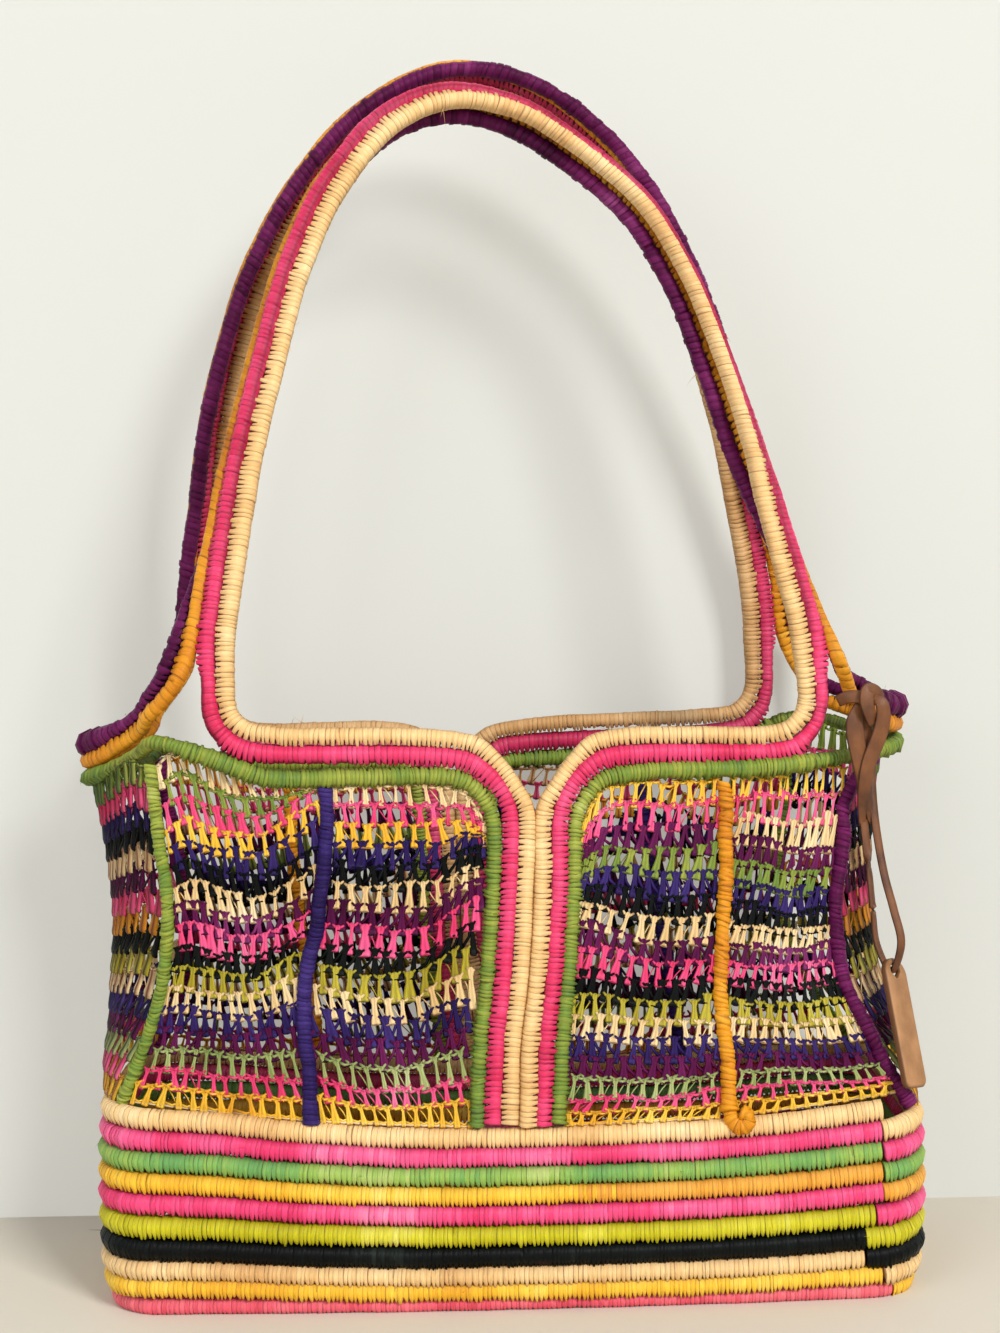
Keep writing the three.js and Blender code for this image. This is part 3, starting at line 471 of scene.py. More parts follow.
def mid_rib_route(face, turn, row):
    """A middle rib from the base to under the rim; turn is -1 on the back, where it is turned round."""
    bottom = wall_top(turn * row[0]) + RIB["seat"] - RIB["sink"]
    top = face["rim_z"] - 2 * RIM["drop"] - RIM["coil"] / 2 - RIB["clear"]
    share = np.array(RIB_SHARES)
    flat = np.column_stack([turn * rib_x(row, share), mix(bottom, top, share)])
    return rounded(twisted(on_face(face, flat)), 12)


def corner_stations(label):
    """Places up the corner where two panels of the net meet."""
    side, face, _, top = CORNERS[label]
    sink = RIB["long_foot_sink"] if label == "front_right" else RIB["corner_sink"]
    foot = wall_top(side * CORNER_PROFILE[0][1]) + RIB["foot_seat"] - sink
    z = mix(foot, top, np.array(RIB_SHARES))
    return np.column_stack([side * profile(z, 1), FACES[face]["sign"] * profile(z, 2), z])


# ---- mesh making ----------------------------------------------------------------------------
class Straw:
    """Points and faces gathered for one piece, with the place of each point on its strip of
    straw: how far along the coil, how far round it, the strip's own tone, and how much shade
    is painted on it in the seams and on hidden sides, or on leather how worn its edge is."""

    def __init__(self):
        self.points, self.quads, self.marks, self.seams, self.looks = [], [], [], [], []
        self.count = 0

    def add(self, points, quads, marks, seams, look=0):
        self.points.append(points)
        self.quads.append(quads + self.count)
        self.marks.append(marks)
        self.seams.append(seams)
        self.looks.append(np.zeros(len(quads), np.int32) + look)
        self.count += len(points)

    def build(self, name, materials):
        points = np.concatenate(self.points) * MM
        quads = np.concatenate(self.quads).astype(np.int32)
        mesh = bpy.data.meshes.new(name)
        mesh.vertices.add(len(points))
        mesh.vertices.foreach_set("co", points.astype(np.float32).ravel())
        mesh.loops.add(quads.size)
        mesh.loops.foreach_set("vertex_index", quads.ravel())
        mesh.polygons.add(len(quads))
        mesh.polygons.foreach_set("loop_start", np.arange(0, quads.size, 4, dtype=np.int32))
        mesh.polygons.foreach_set("loop_total", np.full(len(quads), 4, np.int32))
        mesh.polygons.foreach_set("use_smooth", np.full(len(quads), True))
        for material in materials:
            mesh.materials.append(material)
        mesh.polygons.foreach_set("material_index", np.concatenate(self.looks))
        strip = mesh.attributes.new("strip", "FLOAT_VECTOR", "POINT")
        strip.data.foreach_set("vector", np.concatenate(self.marks).astype(np.float32).ravel())
        seam = mesh.attributes.new("seam", "FLOAT", "POINT")
        seam.data.foreach_set("value", np.concatenate(self.seams).astype(np.float32))
        mesh.update(calc_edges=True)
        mesh.validate()
        piece = bpy.data.objects.new(name, mesh)
        bpy.context.collection.objects.link(piece)
        return piece


def ring_quads(rings, sides):
    """Faces between neighbouring rings of points."""
    ring = np.arange(rings - 1)[:, None] * sides
    side = np.arange(sides)[None, :]
    follow = (side + 1) % sides
    corners = [ring + side, ring + follow, ring + sides + follow, ring + sides + side]
    return np.stack(corners, axis=-1).reshape(-1, 4)


def cap_quads(first, sides, flip):
    """An end closed by quads, for an even number of sides."""
    quads = []
    for i in range(sides // 2 - 1):
        quad = [first + i, first + i + 1, first + sides - 2 - i, first + sides - 1 - i]
        quads.append(quad if flip else quad[::-1])
    return np.array(quads)


def tube_quads(rings, sides):
    """The faces of a tube that is closed at both ends."""
    caps = [cap_quads(0, sides, False), cap_quads((rings - 1) * sides, sides, True)]
    return np.concatenate([ring_quads(rings, sides), *caps])


def unit(v):
    return v / np.maximum(np.linalg.norm(v, axis=-1, keepdims=True), 1e-9)


def nearest(points, route):
    """The nearest point of a route to each point."""
    found = np.empty_like(points)
    for start in range(0, len(points), 400):
        part = points[start:start + 400]
        gap = ((part[:, None, :] - route[None, :, :]) ** 2).sum(axis=2)
        found[start:start + 400] = route[gap.argmin(axis=1)]
    return found


def wander(length, size, spacing, rng):
    """A slow random wave along a length, as a function of the distance."""
    knots = rng.normal(0, size, (max(4, int(length / spacing) + 3), 3))
    fine = rounded(knots, 6)
    place = np.linspace(0, length, len(fine))
    return lambda s: np.stack([np.interp(s, place, fine[:, k]) for k in range(3)], axis=1)


# Places round a coil, counted from the side that meets the next one, closer together there.
SIDE_ANGLES = np.radians([0, 25, 52, 88, 132, 180, 228, 272, 308, 335])
# The coils of the base show one side, so their points are closest together there.
BASE_ANGLES = np.radians([0, 40, 90, 135, 180, 224, 266, 298, 319, 336])
# For a coil that hooks into the one below it, all the way along.
BELOW = "below"
# How the strips lie on a coil: how much they differ in width, the share of a strip that rounds
# down into the seam, how far ahead the run of the coil is taken, the length of its slow waves, how
# unequal the hooks are, how much deeper the seams are there, how far the edges of a hook are drawn
# in, how much shade is painted in the gaps between hooks, and how far apart two strips lie in the pattern.
STRIP = {
    "spread": 0.16, "edge": 0.13, "ahead": 1.5, "wave": 12, "hook_spread": 0.22, "hook_seam": 2.2,
    "hook_draw": 0.62, "gap_shade": 1.9, "pattern": 53,
}
# Curves round a coil, over the cosine of the angle from one of its sides.
HOOK_REACH = ([0.5, 0.62, 0.77, 0.91, 1], [0, 0.06, 0.25, 1, 0.75])
HOOK_NARROW = ([0.6, 0.77, 0.91], [0, 0.12, 1.1])
HOOK_GAP = ([0.65, 0.85], [0, 1])
FAR_TEETH = ([0.6, 0.95], [0, 1])
NEAR_SHADE = ([0.5, 0.9], [0, 1])
FAR_SHADE = ([0.55, 0.95], [0, 1])
INSIDE_SHADE = ([0.3, 0.9], [0, 1])


def strip_widths(total, wrap, rng):
    """Widths of the strips that fill a length."""
    drawn = rng.normal(0, 1, int(total / wrap * 1.6) + 8)
    widths = np.maximum(0.4, 1 + STRIP["spread"] * drawn) * wrap
    ends = np.cumsum(widths)
    count = max(2, int(np.searchsorted(ends, total)))
    return widths[:count] * total / ends[count - 1]


def strip_rings(total, wrap, rng):
    """Three rings for each strip, one in the seam and one on each of its edges, and a last one:
    how far along the coil they lie, 1 where they are on the strip, the number of the strip, and how
    far they are drawn in where it hooks."""
    widths = strip_widths(total, wrap, rng)
    count = len(widths)
    starts = np.concatenate([[0], np.cumsum(widths)])
    shares = np.array([0, STRIP["edge"], 1 - STRIP["edge"]])
    place = np.concatenate([(starts[:-1, None] + shares[None, :] * widths[:, None]).ravel(), [total]])
    crest = np.concatenate([np.tile([0, 1, 1], count), [0]])
    strip = np.concatenate([np.repeat(np.arange(count), 3), [count - 1]])
    offset = 0.5 - (place - starts[strip]) / widths[strip]
    return place, crest, strip, crest * offset * widths[strip] * STRIP["hook_draw"]


def toward_neighbour(centre, run, toward, within):
    """The way from each point of a coil to its neighbour, and how far its strips hook into that."""
    goal = np.tile([0.0, 0.0, -1.0], (len(centre), 1))
    hooked = np.full(len(centre), 1.0 if isinstance(toward, str) else 0.0)
    if isinstance(toward, np.ndarray):
        goal = nearest(centre, toward) - centre
        hooked = 1 - ease(np.linalg.norm(goal, axis=1), within, within * 1.25)
    return unit(goal - (goal * run).sum(axis=1)[:, None] * run), hooked[:, None]


def wrap_coil(
        straw, route, width, wrap, rng, toward=None, reach=1.5, groove=0.2, uneven=0.02, slant=0.12,
        wobble=0.12, look=None, within=1.35, shade=(0.75, 0.75), line=0.7, far=0.0, swell=None,
        tilts=0.09, angles=SIDE_ANGLES, inside=0.0, teeth=1.0):
    """A straw core wrapped in flat strips. The strips hook into the coil below, or into a route
    where that lies near enough: within is how near, in widths of the coil, and reach how far they
    hook. Groove is how deep the seams are between them, slant and tilts how askew they lie, and
    wobble how far the coil strays. Shade is the painted shade where it meets its two neighbours,
    inside the painted shade on its hidden side, and line the painted shade between two strips. Far
    is how much the strips stand out on the side away from the neighbour, and teeth how narrow their hooks
    are."""
    total = lengths_along(route)[-1]
    place, crest, strip, draw = strip_rings(total, wrap, rng)
    count = strip[-1] + 1
    centre = at_lengths(route, place) + wander(total, wobble, STRIP["wave"], rng)(place)
    ahead = at_lengths(route, np.minimum(place + STRIP["ahead"], total))
    run = unit(ahead - at_lengths(route, np.maximum(place - STRIP["ahead"], 0)))
    down, hooked = toward_neighbour(centre, run, toward, within * width)
    across = np.cross(run, down)
    sides = len(angles)
    angle = angles[None, :]
    near_side = np.cos(angle)
    bite = np.interp(near_side, *HOOK_REACH)
    narrow = teeth * np.interp(near_side, *HOOK_NARROW)
    outer = np.interp(-near_side, *FAR_TEETH)
    sizes = 1 + uneven * rng.normal(0, 1, count)
    hook = np.clip(rng.normal(1, STRIP["hook_spread"], count), 0.2, 1.5)[strip][:, None]
    far_tooth = (rng.random(count) ** 1.5)[strip][:, None]
    scale = np.ones(len(place)) if swell is None else swell(centre)
    radius = (width / 2 * scale * (sizes[strip] * crest + (1 - crest)))[:, None] * np.ones((1, sides))
    high = crest[:, None]
    radius -= (1 - high) * groove * (1 + STRIP["hook_seam"] * hooked * bite)
    radius += high * hooked * hook * bite * reach
    radius += high * far_tooth * outer * far
    pull = draw[:, None] * (narrow * hooked + outer * (far > 0))
    tilt = rng.normal(0, tilts, count)[strip][:, None] * wrap
    turn = rng.normal(0, tilts, count)[strip][:, None] * wrap
    shift = slant * wrap * np.sin(angle) + (tilt * np.sin(angle) + turn * np.cos(angle)) * high + pull
    outward = np.cos(angle)[..., None] * down[:, None, :] + np.sin(angle)[..., None] * across[:, None, :]
    points = centre[:, None, :] + radius[..., None] * outward + shift[..., None] * run[:, None, :]
    tones = rng.random(count)[strip][:, None]
    marks = np.stack([
        np.broadcast_to(place[:, None] + tones * STRIP["pattern"], radius.shape),
        np.broadcast_to(angle * width / 2, radius.shape),
        np.broadcast_to(tones, radius.shape),
    ], axis=-1)
    # Painted shade: darker where the coil meets its neighbours and on its hidden side, along the lines
    # between strips and in the gaps between hooks.
    contact_shade = shade[0] * np.interp(near_side, *NEAR_SHADE) + shade[1] * np.interp(-near_side, *FAR_SHADE)
    contact_shade = contact_shade + inside * np.interp(np.sin(angle), *INSIDE_SHADE)
    lines = line * rng.uniform(0.15, 1.25, len(place))[:, None]
    gaps = lines + (STRIP["gap_shade"] - lines) * np.interp(near_side, *HOOK_GAP) * hooked
    seams = np.maximum((1 - high) * gaps, contact_shade * (1 - 0.9 * high * hooked * (bite > 0.1)))
    looks = 0
    if look is not None:
        of_ring = look(centre)
        looks = np.concatenate([np.repeat(of_ring[:-1], sides), np.repeat(of_ring[[0, -1]], sides // 2 - 1)])
    quads = tube_quads(len(place), sides)
    straw.add(points.reshape(-1, 3), quads, marks.reshape(-1, 3), seams.ravel(), looks)
    return centre, down, across, run


def stray_fibres(straw, places, outwards, runs, count, length, rng):
    """Thin loose fibres that stand off a coil."""
    thick = 0.11
    for _ in range(count):
        k = int(rng.integers(0, len(places)))
        way = unit(outwards[k] + 0.7 * rng.normal(0, 1, 3) + runs[k] * rng.normal(0, 0.8))
        bend = unit(rng.normal(0, 1, 3))
        size = length * rng.uniform(0.4, 1.3)
        steps = np.linspace(0, 1, 4)[:, None]
        line = places[k] + way * size * steps + bend * size * 0.35 * steps ** 2
        side = unit(np.cross(way, bend))
        up = unit(np.cross(side, way))
        wide = thick * (1.15 - steps)
        ring = [line + side * wide, line + up * wide, line - side * wide, line - up * wide]
        points = np.stack(ring, axis=1).reshape(-1, 3)
        marks = np.tile([0.0, 0.0, rng.random()], (len(points), 1))
        straw.add(points, tube_quads(len(steps), len(ring)), marks, np.zeros(len(points)))


# ---- materials ------------------------------------------------------------------------------
def linear(color):
    return [((c / 255 + 0.055) / 1.055) ** 2.4 if c > 10 else c / 255 / 12.92 for c in color] + [1]


def new_material(name):
    """A material, its nodes and links, and its Principled shader."""
    material = bpy.data.materials.new(name)
    material.use_nodes = True
    nodes, links = material.node_tree.nodes, material.node_tree.links
    return material, nodes, links, nodes["Principled BSDF"]


def add_node(nodes, kind, **values):
    """A shader node with the values of its sockets, where _ stands for a space in a name."""
    node = nodes.new("ShaderNode" + kind)
    for label, value in values.items():
        node.inputs[label.replace("_", " ")].default_value = value
    return node


def attribute(nodes, name):
    node = nodes.new("ShaderNodeAttribute")
    node.attribute_name = name
    return node


def math_node(nodes, links, operation, first, second):
    node = nodes.new("ShaderNodeMath")
    node.operation = operation
    for socket, value in zip(node.inputs, (first, second)):
        if isinstance(value, (int, float)):
            socket.default_value = value
        else:
            links.new(value, socket)
    return node.outputs[0]


def color_mix(nodes, links, factor, first, second):
    """A mix of two colours; the first is a plain colour or another node's output."""
    node = nodes.new("ShaderNodeMix")
    node.data_type = "RGBA"
    links.new(factor, node.inputs["Factor"])
    if isinstance(first, bpy.types.NodeSocket):
        links.new(first, node.inputs["A"])
    else:
        node.inputs["A"].default_value = linear(first)
    node.inputs["B"].default_value = linear(second)
    return node.outputs["Result"]


def color_ramp(nodes, links, factor, stops):
    """A ramp with (position, colour) stops."""
    node = nodes.new("ShaderNodeValToRGB")
    elements = node.color_ramp.elements
    elements.remove(elements[1])
    for index, (position, color) in enumerate(stops):
        element = elements[0] if index == 0 else elements.new(position)
        element.position = position
        element.color = linear(color)
    links.new(factor, node.inputs["Fac"])
    return node.outputs["Color"]


def set_roughness(nodes, links, shader, value, low, high):
    dull = add_node(nodes, "MapRange", To_Min=low, To_Max=high)
    links.new(value, dull.inputs["Value"])
    links.new(dull.outputs["Result"], shader.inputs["Roughness"])


def set_relief(nodes, links, shader, height, strength, distance):
    relief = add_node(nodes, "Bump", Strength=strength, Distance=distance * MM)
    links.new(height, relief.inputs["Height"])
    links.new(relief.outputs["Normal"], shader.inputs["Normal"])


def straw_group():
    """Fibres along each strip, its tone, and the shade painted in its seams and on its hidden side."""
    group = bpy.data.node_groups.new("straw strip", "ShaderNodeTree")
    for label, value in (("Fibres", 5.0), ("Blotch", 30.0), ("Own", 0.35)):
        socket = group.interface.new_socket(label, in_out="INPUT", socket_type="NodeSocketFloat")
        socket.default_value = value
    for label in ("Fibre", "Tone", "Shade"):
        group.interface.new_socket(label, in_out="OUTPUT", socket_type="NodeSocketFloat")
    nodes, links = group.nodes, group.links
    enter, leave = nodes.new("NodeGroupInput"), nodes.new("NodeGroupOutput")
    split = nodes.new("ShaderNodeSeparateXYZ")
    links.new(attribute(nodes, "strip").outputs["Vector"], split.inputs[0])
    stretch = nodes.new("ShaderNodeCombineXYZ")
    for axis, by in (("X", enter.outputs["Fibres"]), ("Y", 0.22), ("Z", 91)):
        links.new(math_node(nodes, links, "MULTIPLY", split.outputs[axis], by), stretch.inputs[axis])
    fibre = add_node(nodes, "TexNoise", Scale=1.0, Detail=3.0, Roughness=0.6)
    links.new(stretch.outputs[0], fibre.inputs["Vector"])
    links.new(fibre.outputs["Fac"], leave.inputs["Fibre"])
    place = nodes.new("ShaderNodeTexCoord")
    blotch = add_node(nodes, "TexNoise", Detail=2.0)
    links.new(place.outputs["Object"], blotch.inputs["Vector"])
    links.new(enter.outputs["Blotch"], blotch.inputs["Scale"])
    own = math_node(nodes, links, "MULTIPLY", split.outputs["Z"], enter.outputs["Own"])
    slow = math_node(nodes, links, "MULTIPLY", blotch.outputs["Fac"], 1.5)
    both = math_node(nodes, links, "ADD", own, slow)
    links.new(math_node(nodes, links, "SUBTRACT", both, 0.42), leave.inputs["Tone"])
    links.new(attribute(nodes, "seam").outputs["Fac"], leave.inputs["Shade"])
    return group


STRAW_GROUP = straw_group()
# A straw whose lightest tone adds up to less than this is dark, and shines less.
DARK_STRAW = 400


def straw_material(name, tones, seam, roughness):
    """Raffia dyed in one colour: tones from dark to light across its strips, and the colour of the shade
    painted in its seams.
    """
    material, nodes, links, shader = new_material("raffia " + name)
    group = nodes.new("ShaderNodeGroup")
    group.node_tree = STRAW_GROUP
    group.inputs["Own"].default_value = 0.28
    stops = [(index / (len(tones) - 1), tone) for index, tone in enumerate(tones)]
    tone = color_ramp(nodes, links, group.outputs["Tone"], stops)
    streak = add_node(nodes, "MapRange", From_Min=0.3, From_Max=0.7, To_Min=0.72, To_Max=1.14)
    links.new(group.outputs["Fibre"], streak.inputs["Value"])
    streaked = nodes.new("ShaderNodeVectorMath")
    streaked.operation = "SCALE"
    links.new(tone, streaked.inputs[0])
    links.new(streak.outputs["Result"], streaked.inputs["Scale"])
    # The seam colour is painted shade, mixed in where coils meet, on hidden sides and between strips.
    shaded = color_mix(nodes, links, group.outputs["Shade"], streaked.outputs["Vector"], seam)
    links.new(shaded, shader.inputs["Base Color"])
    set_roughness(nodes, links, shader, group.outputs["Fibre"], roughness + 0.12, roughness - 0.08)
    shader.inputs["Specular IOR Level"].default_value = 0.3 if sum(tones[-1]) > DARK_STRAW else 0.1
    set_relief(nodes, links, shader, group.outputs["Fibre"], 0.5, 0.25)
    return material


# Columns: straw, tones from dark to light, the colour of the shade painted in its seams, roughness.
STRAW_TABLE = [
    ("natural", [(220, 170, 108), (237, 194, 130), (246, 210, 150), (251, 226, 178)], (98, 42, 22), 0.55),
    ("pink", [(200, 26, 74), (228, 48, 100), (240, 72, 124), (248, 108, 154)], (92, 8, 28), 0.45),
    ("rose", [(214, 38, 92), (239, 64, 120), (248, 96, 150), (252, 142, 182)], (104, 8, 30), 0.45),
    ("green", [(76, 114, 60), (116, 142, 50), (154, 164, 62), (188, 196, 106)], (36, 38, 12), 0.55),
    ("meadow", [(84, 146, 86), (120, 172, 88), (152, 186, 84), (192, 208, 126)], (38, 54, 18), 0.55),
    ("orange", [(190, 108, 8), (216, 136, 14), (236, 160, 28), (246, 186, 66)], (96, 44, 4), 0.5),
    ("yellow", [(228, 162, 36), (245, 188, 46), (251, 206, 68), (253, 224, 114)], (118, 48, 12), 0.55),
    ("purple", [(54, 4, 40), (84, 14, 64), (112, 30, 88), (150, 66, 126)], (14, 2, 8), 0.42),
    ("violet", [(28, 14, 60), (44, 28, 88), (64, 46, 116), (100, 80, 152)], (10, 5, 24), 0.42),
    ("salmon", [(210, 64, 80), (230, 88, 106), (240, 114, 126), (246, 148, 152)], (104, 20, 30), 0.5),
    ("black", [(4, 6, 6), (8, 11, 11), (14, 19, 18), (42, 49, 45)], (2, 3, 3), 0.4),
    ("sage", [(124, 142, 74), (156, 170, 100), (182, 192, 126), (206, 212, 160)], (36, 38, 14), 0.55),
    # The dull straws are darker copies of natural and pink: painted shade for the back handle.
    ("dull natural", [(184, 136, 82), (206, 160, 104), (222, 180, 126), (236, 204, 158)], (84, 38, 18),
     0.55),
    ("dull pink", [(176, 24, 68), (204, 46, 92), (220, 68, 114), (234, 106, 146)], (78, 8, 26), 0.45),
    ("cream", [(214, 174, 112), (236, 202, 142), (248, 222, 170), (253, 238, 204)], (98, 46, 24), 0.55),
    ("olive", [(140, 124, 20), (170, 154, 32), (194, 180, 54), (216, 206, 112)], (50, 42, 8), 0.55),
    ("lime", [(172, 164, 8), (196, 188, 16), (214, 206, 42), (232, 226, 108)], (66, 56, 6), 0.55),
    ("amber", [(216, 142, 40), (232, 160, 54), (244, 178, 74), (250, 194, 104)], (112, 52, 10), 0.55),
]
STRAWS = {row[0]: straw_material(*row) for row in STRAW_TABLE}


def ride(piece, node):
    """The piece moves with the bag and stands for one CAD node, whose part it hides."""
    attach(piece, "root")
    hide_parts(node)


# ---- camera, light and surroundings ---------------------------------------------------------
# Lens and place in millimetres; turn, dip and roll in degrees.
CAMERA = {"sensor": 36, "lens": 47.26, "place": (-29.2, -690, 238), "turn": 2.3, "dip": 0.3, "roll": -0.5}


def make_camera():
    data = bpy.data.cameras.new("camera")
    data.sensor_width = CAMERA["sensor"]
    data.lens = CAMERA["lens"]
    camera = bpy.data.objects.new("camera", data)
    bpy.context.collection.objects.link(camera)
    turn, dip, roll = (math.radians(CAMERA[name]) for name in ("turn", "dip", "roll"))
    ahead = Vector((math.sin(turn) * math.cos(dip), math.cos(turn) * math.cos(dip), -math.sin(dip)))
    level = Vector((math.cos(turn), -math.sin(turn), 0))
    upright = level.cross(ahead)
    right = level * math.cos(roll) + upright * math.sin(roll)
    up = right.cross(ahead)
    basis = Matrix((right, up, -ahead)).transposed()
    camera.matrix_world = Matrix.Translation(Vector(CAMERA["place"]) * MM) @ basis.to_4x4()
    bpy.context.scene.camera = camera


def area_light(name, place, aim, size, power, color):
    data = bpy.data.lights.new(name, "AREA")
    data.size = size
    data.energy = power
    data.color = color
    lamp = bpy.data.objects.new(name, data)
    bpy.context.collection.objects.link(lamp)
    lamp.location = place
    lamp.rotation_euler = (Vector(aim) - Vector(place)).to_track_quat("-Z", "Y").to_euler()


def plain_material(name, color):
    """Matt paint with a faint cloudiness."""
    material, nodes, links, shader = new_material(name)
    shader.inputs["Roughness"].default_value = 0.9
    shader.inputs["Specular IOR Level"].default_value = 0.1
    grain = add_node(nodes, "TexNoise", Scale=6, Detail=4)
    tint = color_mix(nodes, links, grain.outputs["Fac"], color, [c * 0.975 for c in color])
    links.new(tint, shader.inputs["Base Color"])
    return material


def wall_material(name, color, seen, share):
    """Paint that is clear from behind. A share of what the camera sees of it is one even colour,
    so that shadows on it stay pale."""
    material = plain_material(name, color)
    nodes, links = material.node_tree.nodes, material.node_tree.links
    glow = add_node(nodes, "Emission", Color=linear(seen))
    ray = nodes.new("ShaderNodeLightPath")
    part = math_node(nodes, links, "MULTIPLY", ray.outputs["Is Camera Ray"], share)
    facing = nodes.new("ShaderNodeNewGeometry").outputs["Backfacing"]
    clear = nodes.new("ShaderNodeBsdfTransparent").outputs["BSDF"]
    surface = nodes["Principled BSDF"].outputs["BSDF"]
    for factor, second in ((part, glow.outputs["Emission"]), (facing, clear)):
        blend = nodes.new("ShaderNodeMixShader")
        links.new(factor, blend.inputs["Fac"])
        links.new(surface, blend.inputs[1])
        links.new(second, blend.inputs[2])
        surface = blend.outputs[0]
    links.new(surface, nodes["Material Output"].inputs["Surface"])
    return material


def plane(name, corners, material):
    mesh = bpy.data.meshes.new(name)
    mesh.from_pydata(corners, [], [(0, 1, 2, 3)])
    mesh.materials.append(material)
    piece = bpy.data.objects.new(name, mesh)
    bpy.context.collection.objects.link(piece)


def make_surroundings():
    wall_y, far = 0.066, 3.0
    plane("table_top", [(-far, -far, 0), (far, -far, 0), (far, far, 0), (-far, far, 0)],
          plain_material("table paint", (219, 213, 200)))
    plane("wall", [(-far, wall_y, 0), (far, wall_y, 0), (far, wall_y, far), (-far, wall_y, far)],
          wall_material("wall paint", (206, 210, 206), (238, 234, 224), 0.4))
    area_light("key light", (1.65, -2.7, 2.05), (0, 0, 0.25), 1.0, 112, (1.0, 0.98, 0.94))
    area_light("fill light", (-1.1, -1.4, 0.9), (0, 0, 0.2), 1.2, 13, (0.98, 0.98, 1.0))
    world = bpy.data.worlds.new("room")
    bpy.context.scene.world = world
    world.use_nodes = True
    sky = world.node_tree.nodes["Background"]
    sky.inputs["Color"].default_value = (0.97, 0.98, 1.0, 1)
    sky.inputs["Strength"].default_value = 0.42
    bpy.context.scene.view_settings.view_transform = "Standard"


make_camera()


# ---- the leather tie ------------------------------------------------------------------------
def leather_material(name, low, high, edge_tone):
    """Worn tan leather, darker in its pores and along its cut edges."""
    material, nodes, links, shader = new_material(name)
    place = nodes.new("ShaderNodeTexCoord")
    cloud = add_node(nodes, "TexNoise", Scale=90, Detail=5)
    pores = add_node(nodes, "TexVoronoi", Scale=1600)
    links.new(place.outputs["Object"], cloud.inputs["Vector"])
    links.new(place.outputs["Object"], pores.inputs["Vector"])
    tone = color_ramp(nodes, links, cloud.outputs["Fac"], [(0.3, low), (0.7, high)])
    rubbed = color_mix(nodes, links, attribute(nodes, "seam").outputs["Fac"], tone, edge_tone)
    links.new(rubbed, shader.inputs["Base Color"])
    set_roughness(nodes, links, shader, cloud.outputs["Fac"], 0.42, 0.66)
    set_relief(nodes, links, shader, pores.outputs["Distance"], 0.35, 0.15)
    return material


LEATHER = leather_material("brown leather", (72, 36, 12), (124, 74, 34), (58, 28, 10))
TAG_LEATHER = leather_material("tan leather", (134, 92, 54), (176, 128, 84), (104, 66, 34))
STRAP_SECTION = np.array([
    (-0.5, -0.22), (-0.42, -0.5), (0, -0.56), (0.42, -0.5), (0.5, -0.22),
    (0.5, 0.22), (0.42, 0.5), (0, 0.56), (-0.42, 0.5), (-0.5, 0.22),
])


def strap(straw, points, widths, thickness, facing, steps=6):
    """A flat leather strap along a curve; facing gives the way its face looks at each point."""
    line = rounded(points, steps)
    share = np.linspace(0, 1, len(line))
    own = np.linspace(0, 1, len(points))
    wide = np.interp(share, own, np.broadcast_to(widths, len(points)))
    faces = np.broadcast_to(facing, (len(points), 3))
    face = np.stack([np.interp(share, own, faces[:, k]) for k in range(3)], axis=1)
    run = unit(np.gradient(line, axis=0))
    face = unit(face - (face * run).sum(axis=1)[:, None] * run)
    side = np.cross(run, face)
    across, out = STRAP_SECTION.T
    ring = (
        line[:, None, :] + side[:, None, :] * (across[None, :] * wide[:, None])[..., None]
        + face[:, None, :] * (out * thickness)[None, :, None]
    )
    sides, rings = len(STRAP_SECTION), len(line)
    worn = np.tile(np.abs(across) > 0.45, rings).astype(float)
    straw.add(ring.reshape(-1, 3), tube_quads(rings, sides), np.zeros((rings * sides, 3)), worn * 0.8)


# From the knot down behind the tag, through its hole and back up in front of it.
THONG_DOWN = [
    (134.2, -30.1, 204.8), (134, -30.2, 192), (135.4, -32, 170), (137, -34.4, 148), (138.4, -35.6, 131),
]
THONG_UP = [
    (146.8, -39.8, 129), (145.4, -38.6, 138), (142.2, -36, 152), (139.4, -33, 172), (138.5, -31, 188),
    (138.6, -30.1, 204.8),
]
THONG = {"width": 3.1, "thickness": 1.15, "front": (0.15, -1, 0.1), "lift": 2.6, "behind": 4.4, "before": 4}
TAG = {
    "top": (143.5, -36, 123), "foot": (148.6, -50.5, 77.5), "width": 12, "thickness": 2.6,
    "corner": 2.5, "hole": 2.8, "hole_down": 4.8, "turn": 38, "bevel": 0.5, "bow": 1.1,
}


def tag_frame():
    """Top of the tag, its ways down, out and across, and its length."""
    top, foot = np.array(TAG["top"], float), np.array(TAG["foot"], float)
    down = unit(foot - top)
    turn = math.radians(TAG["turn"])
    out = np.array([math.sin(turn), -math.cos(turn), 0])
    out = unit(out - out.dot(down) * down)
    return top, down, out, -np.cross(down, out), np.linalg.norm(foot - top)


def thong_route():
    top, down, out, _, _ = tag_frame()
    hole = top + down * TAG["hole_down"]
    lift = np.array([0, 0, THONG["lift"]])
    beside = [hole - out * THONG["behind"] + lift, hole, hole + out * THONG["before"] + lift]
    return rounded(np.array([*THONG_DOWN, *beside, *THONG_UP], float), 8)


def make_thong():
    route = thong_route()
    _, _, out, _, _ = tag_frame()
    facing = [THONG["front"]] * 4 + [-out, (0, 0, 1), out, out] + [THONG["front"]] * 7
    straw = Straw()
    points = along(route, np.linspace(0, 1, len(facing)))
    strap(straw, points, THONG["width"], THONG["thickness"], np.array(facing), 8)
    piece = straw.build("leather_thong", [LEATHER])
    ride(piece, "tie_thong")
    return piece, route


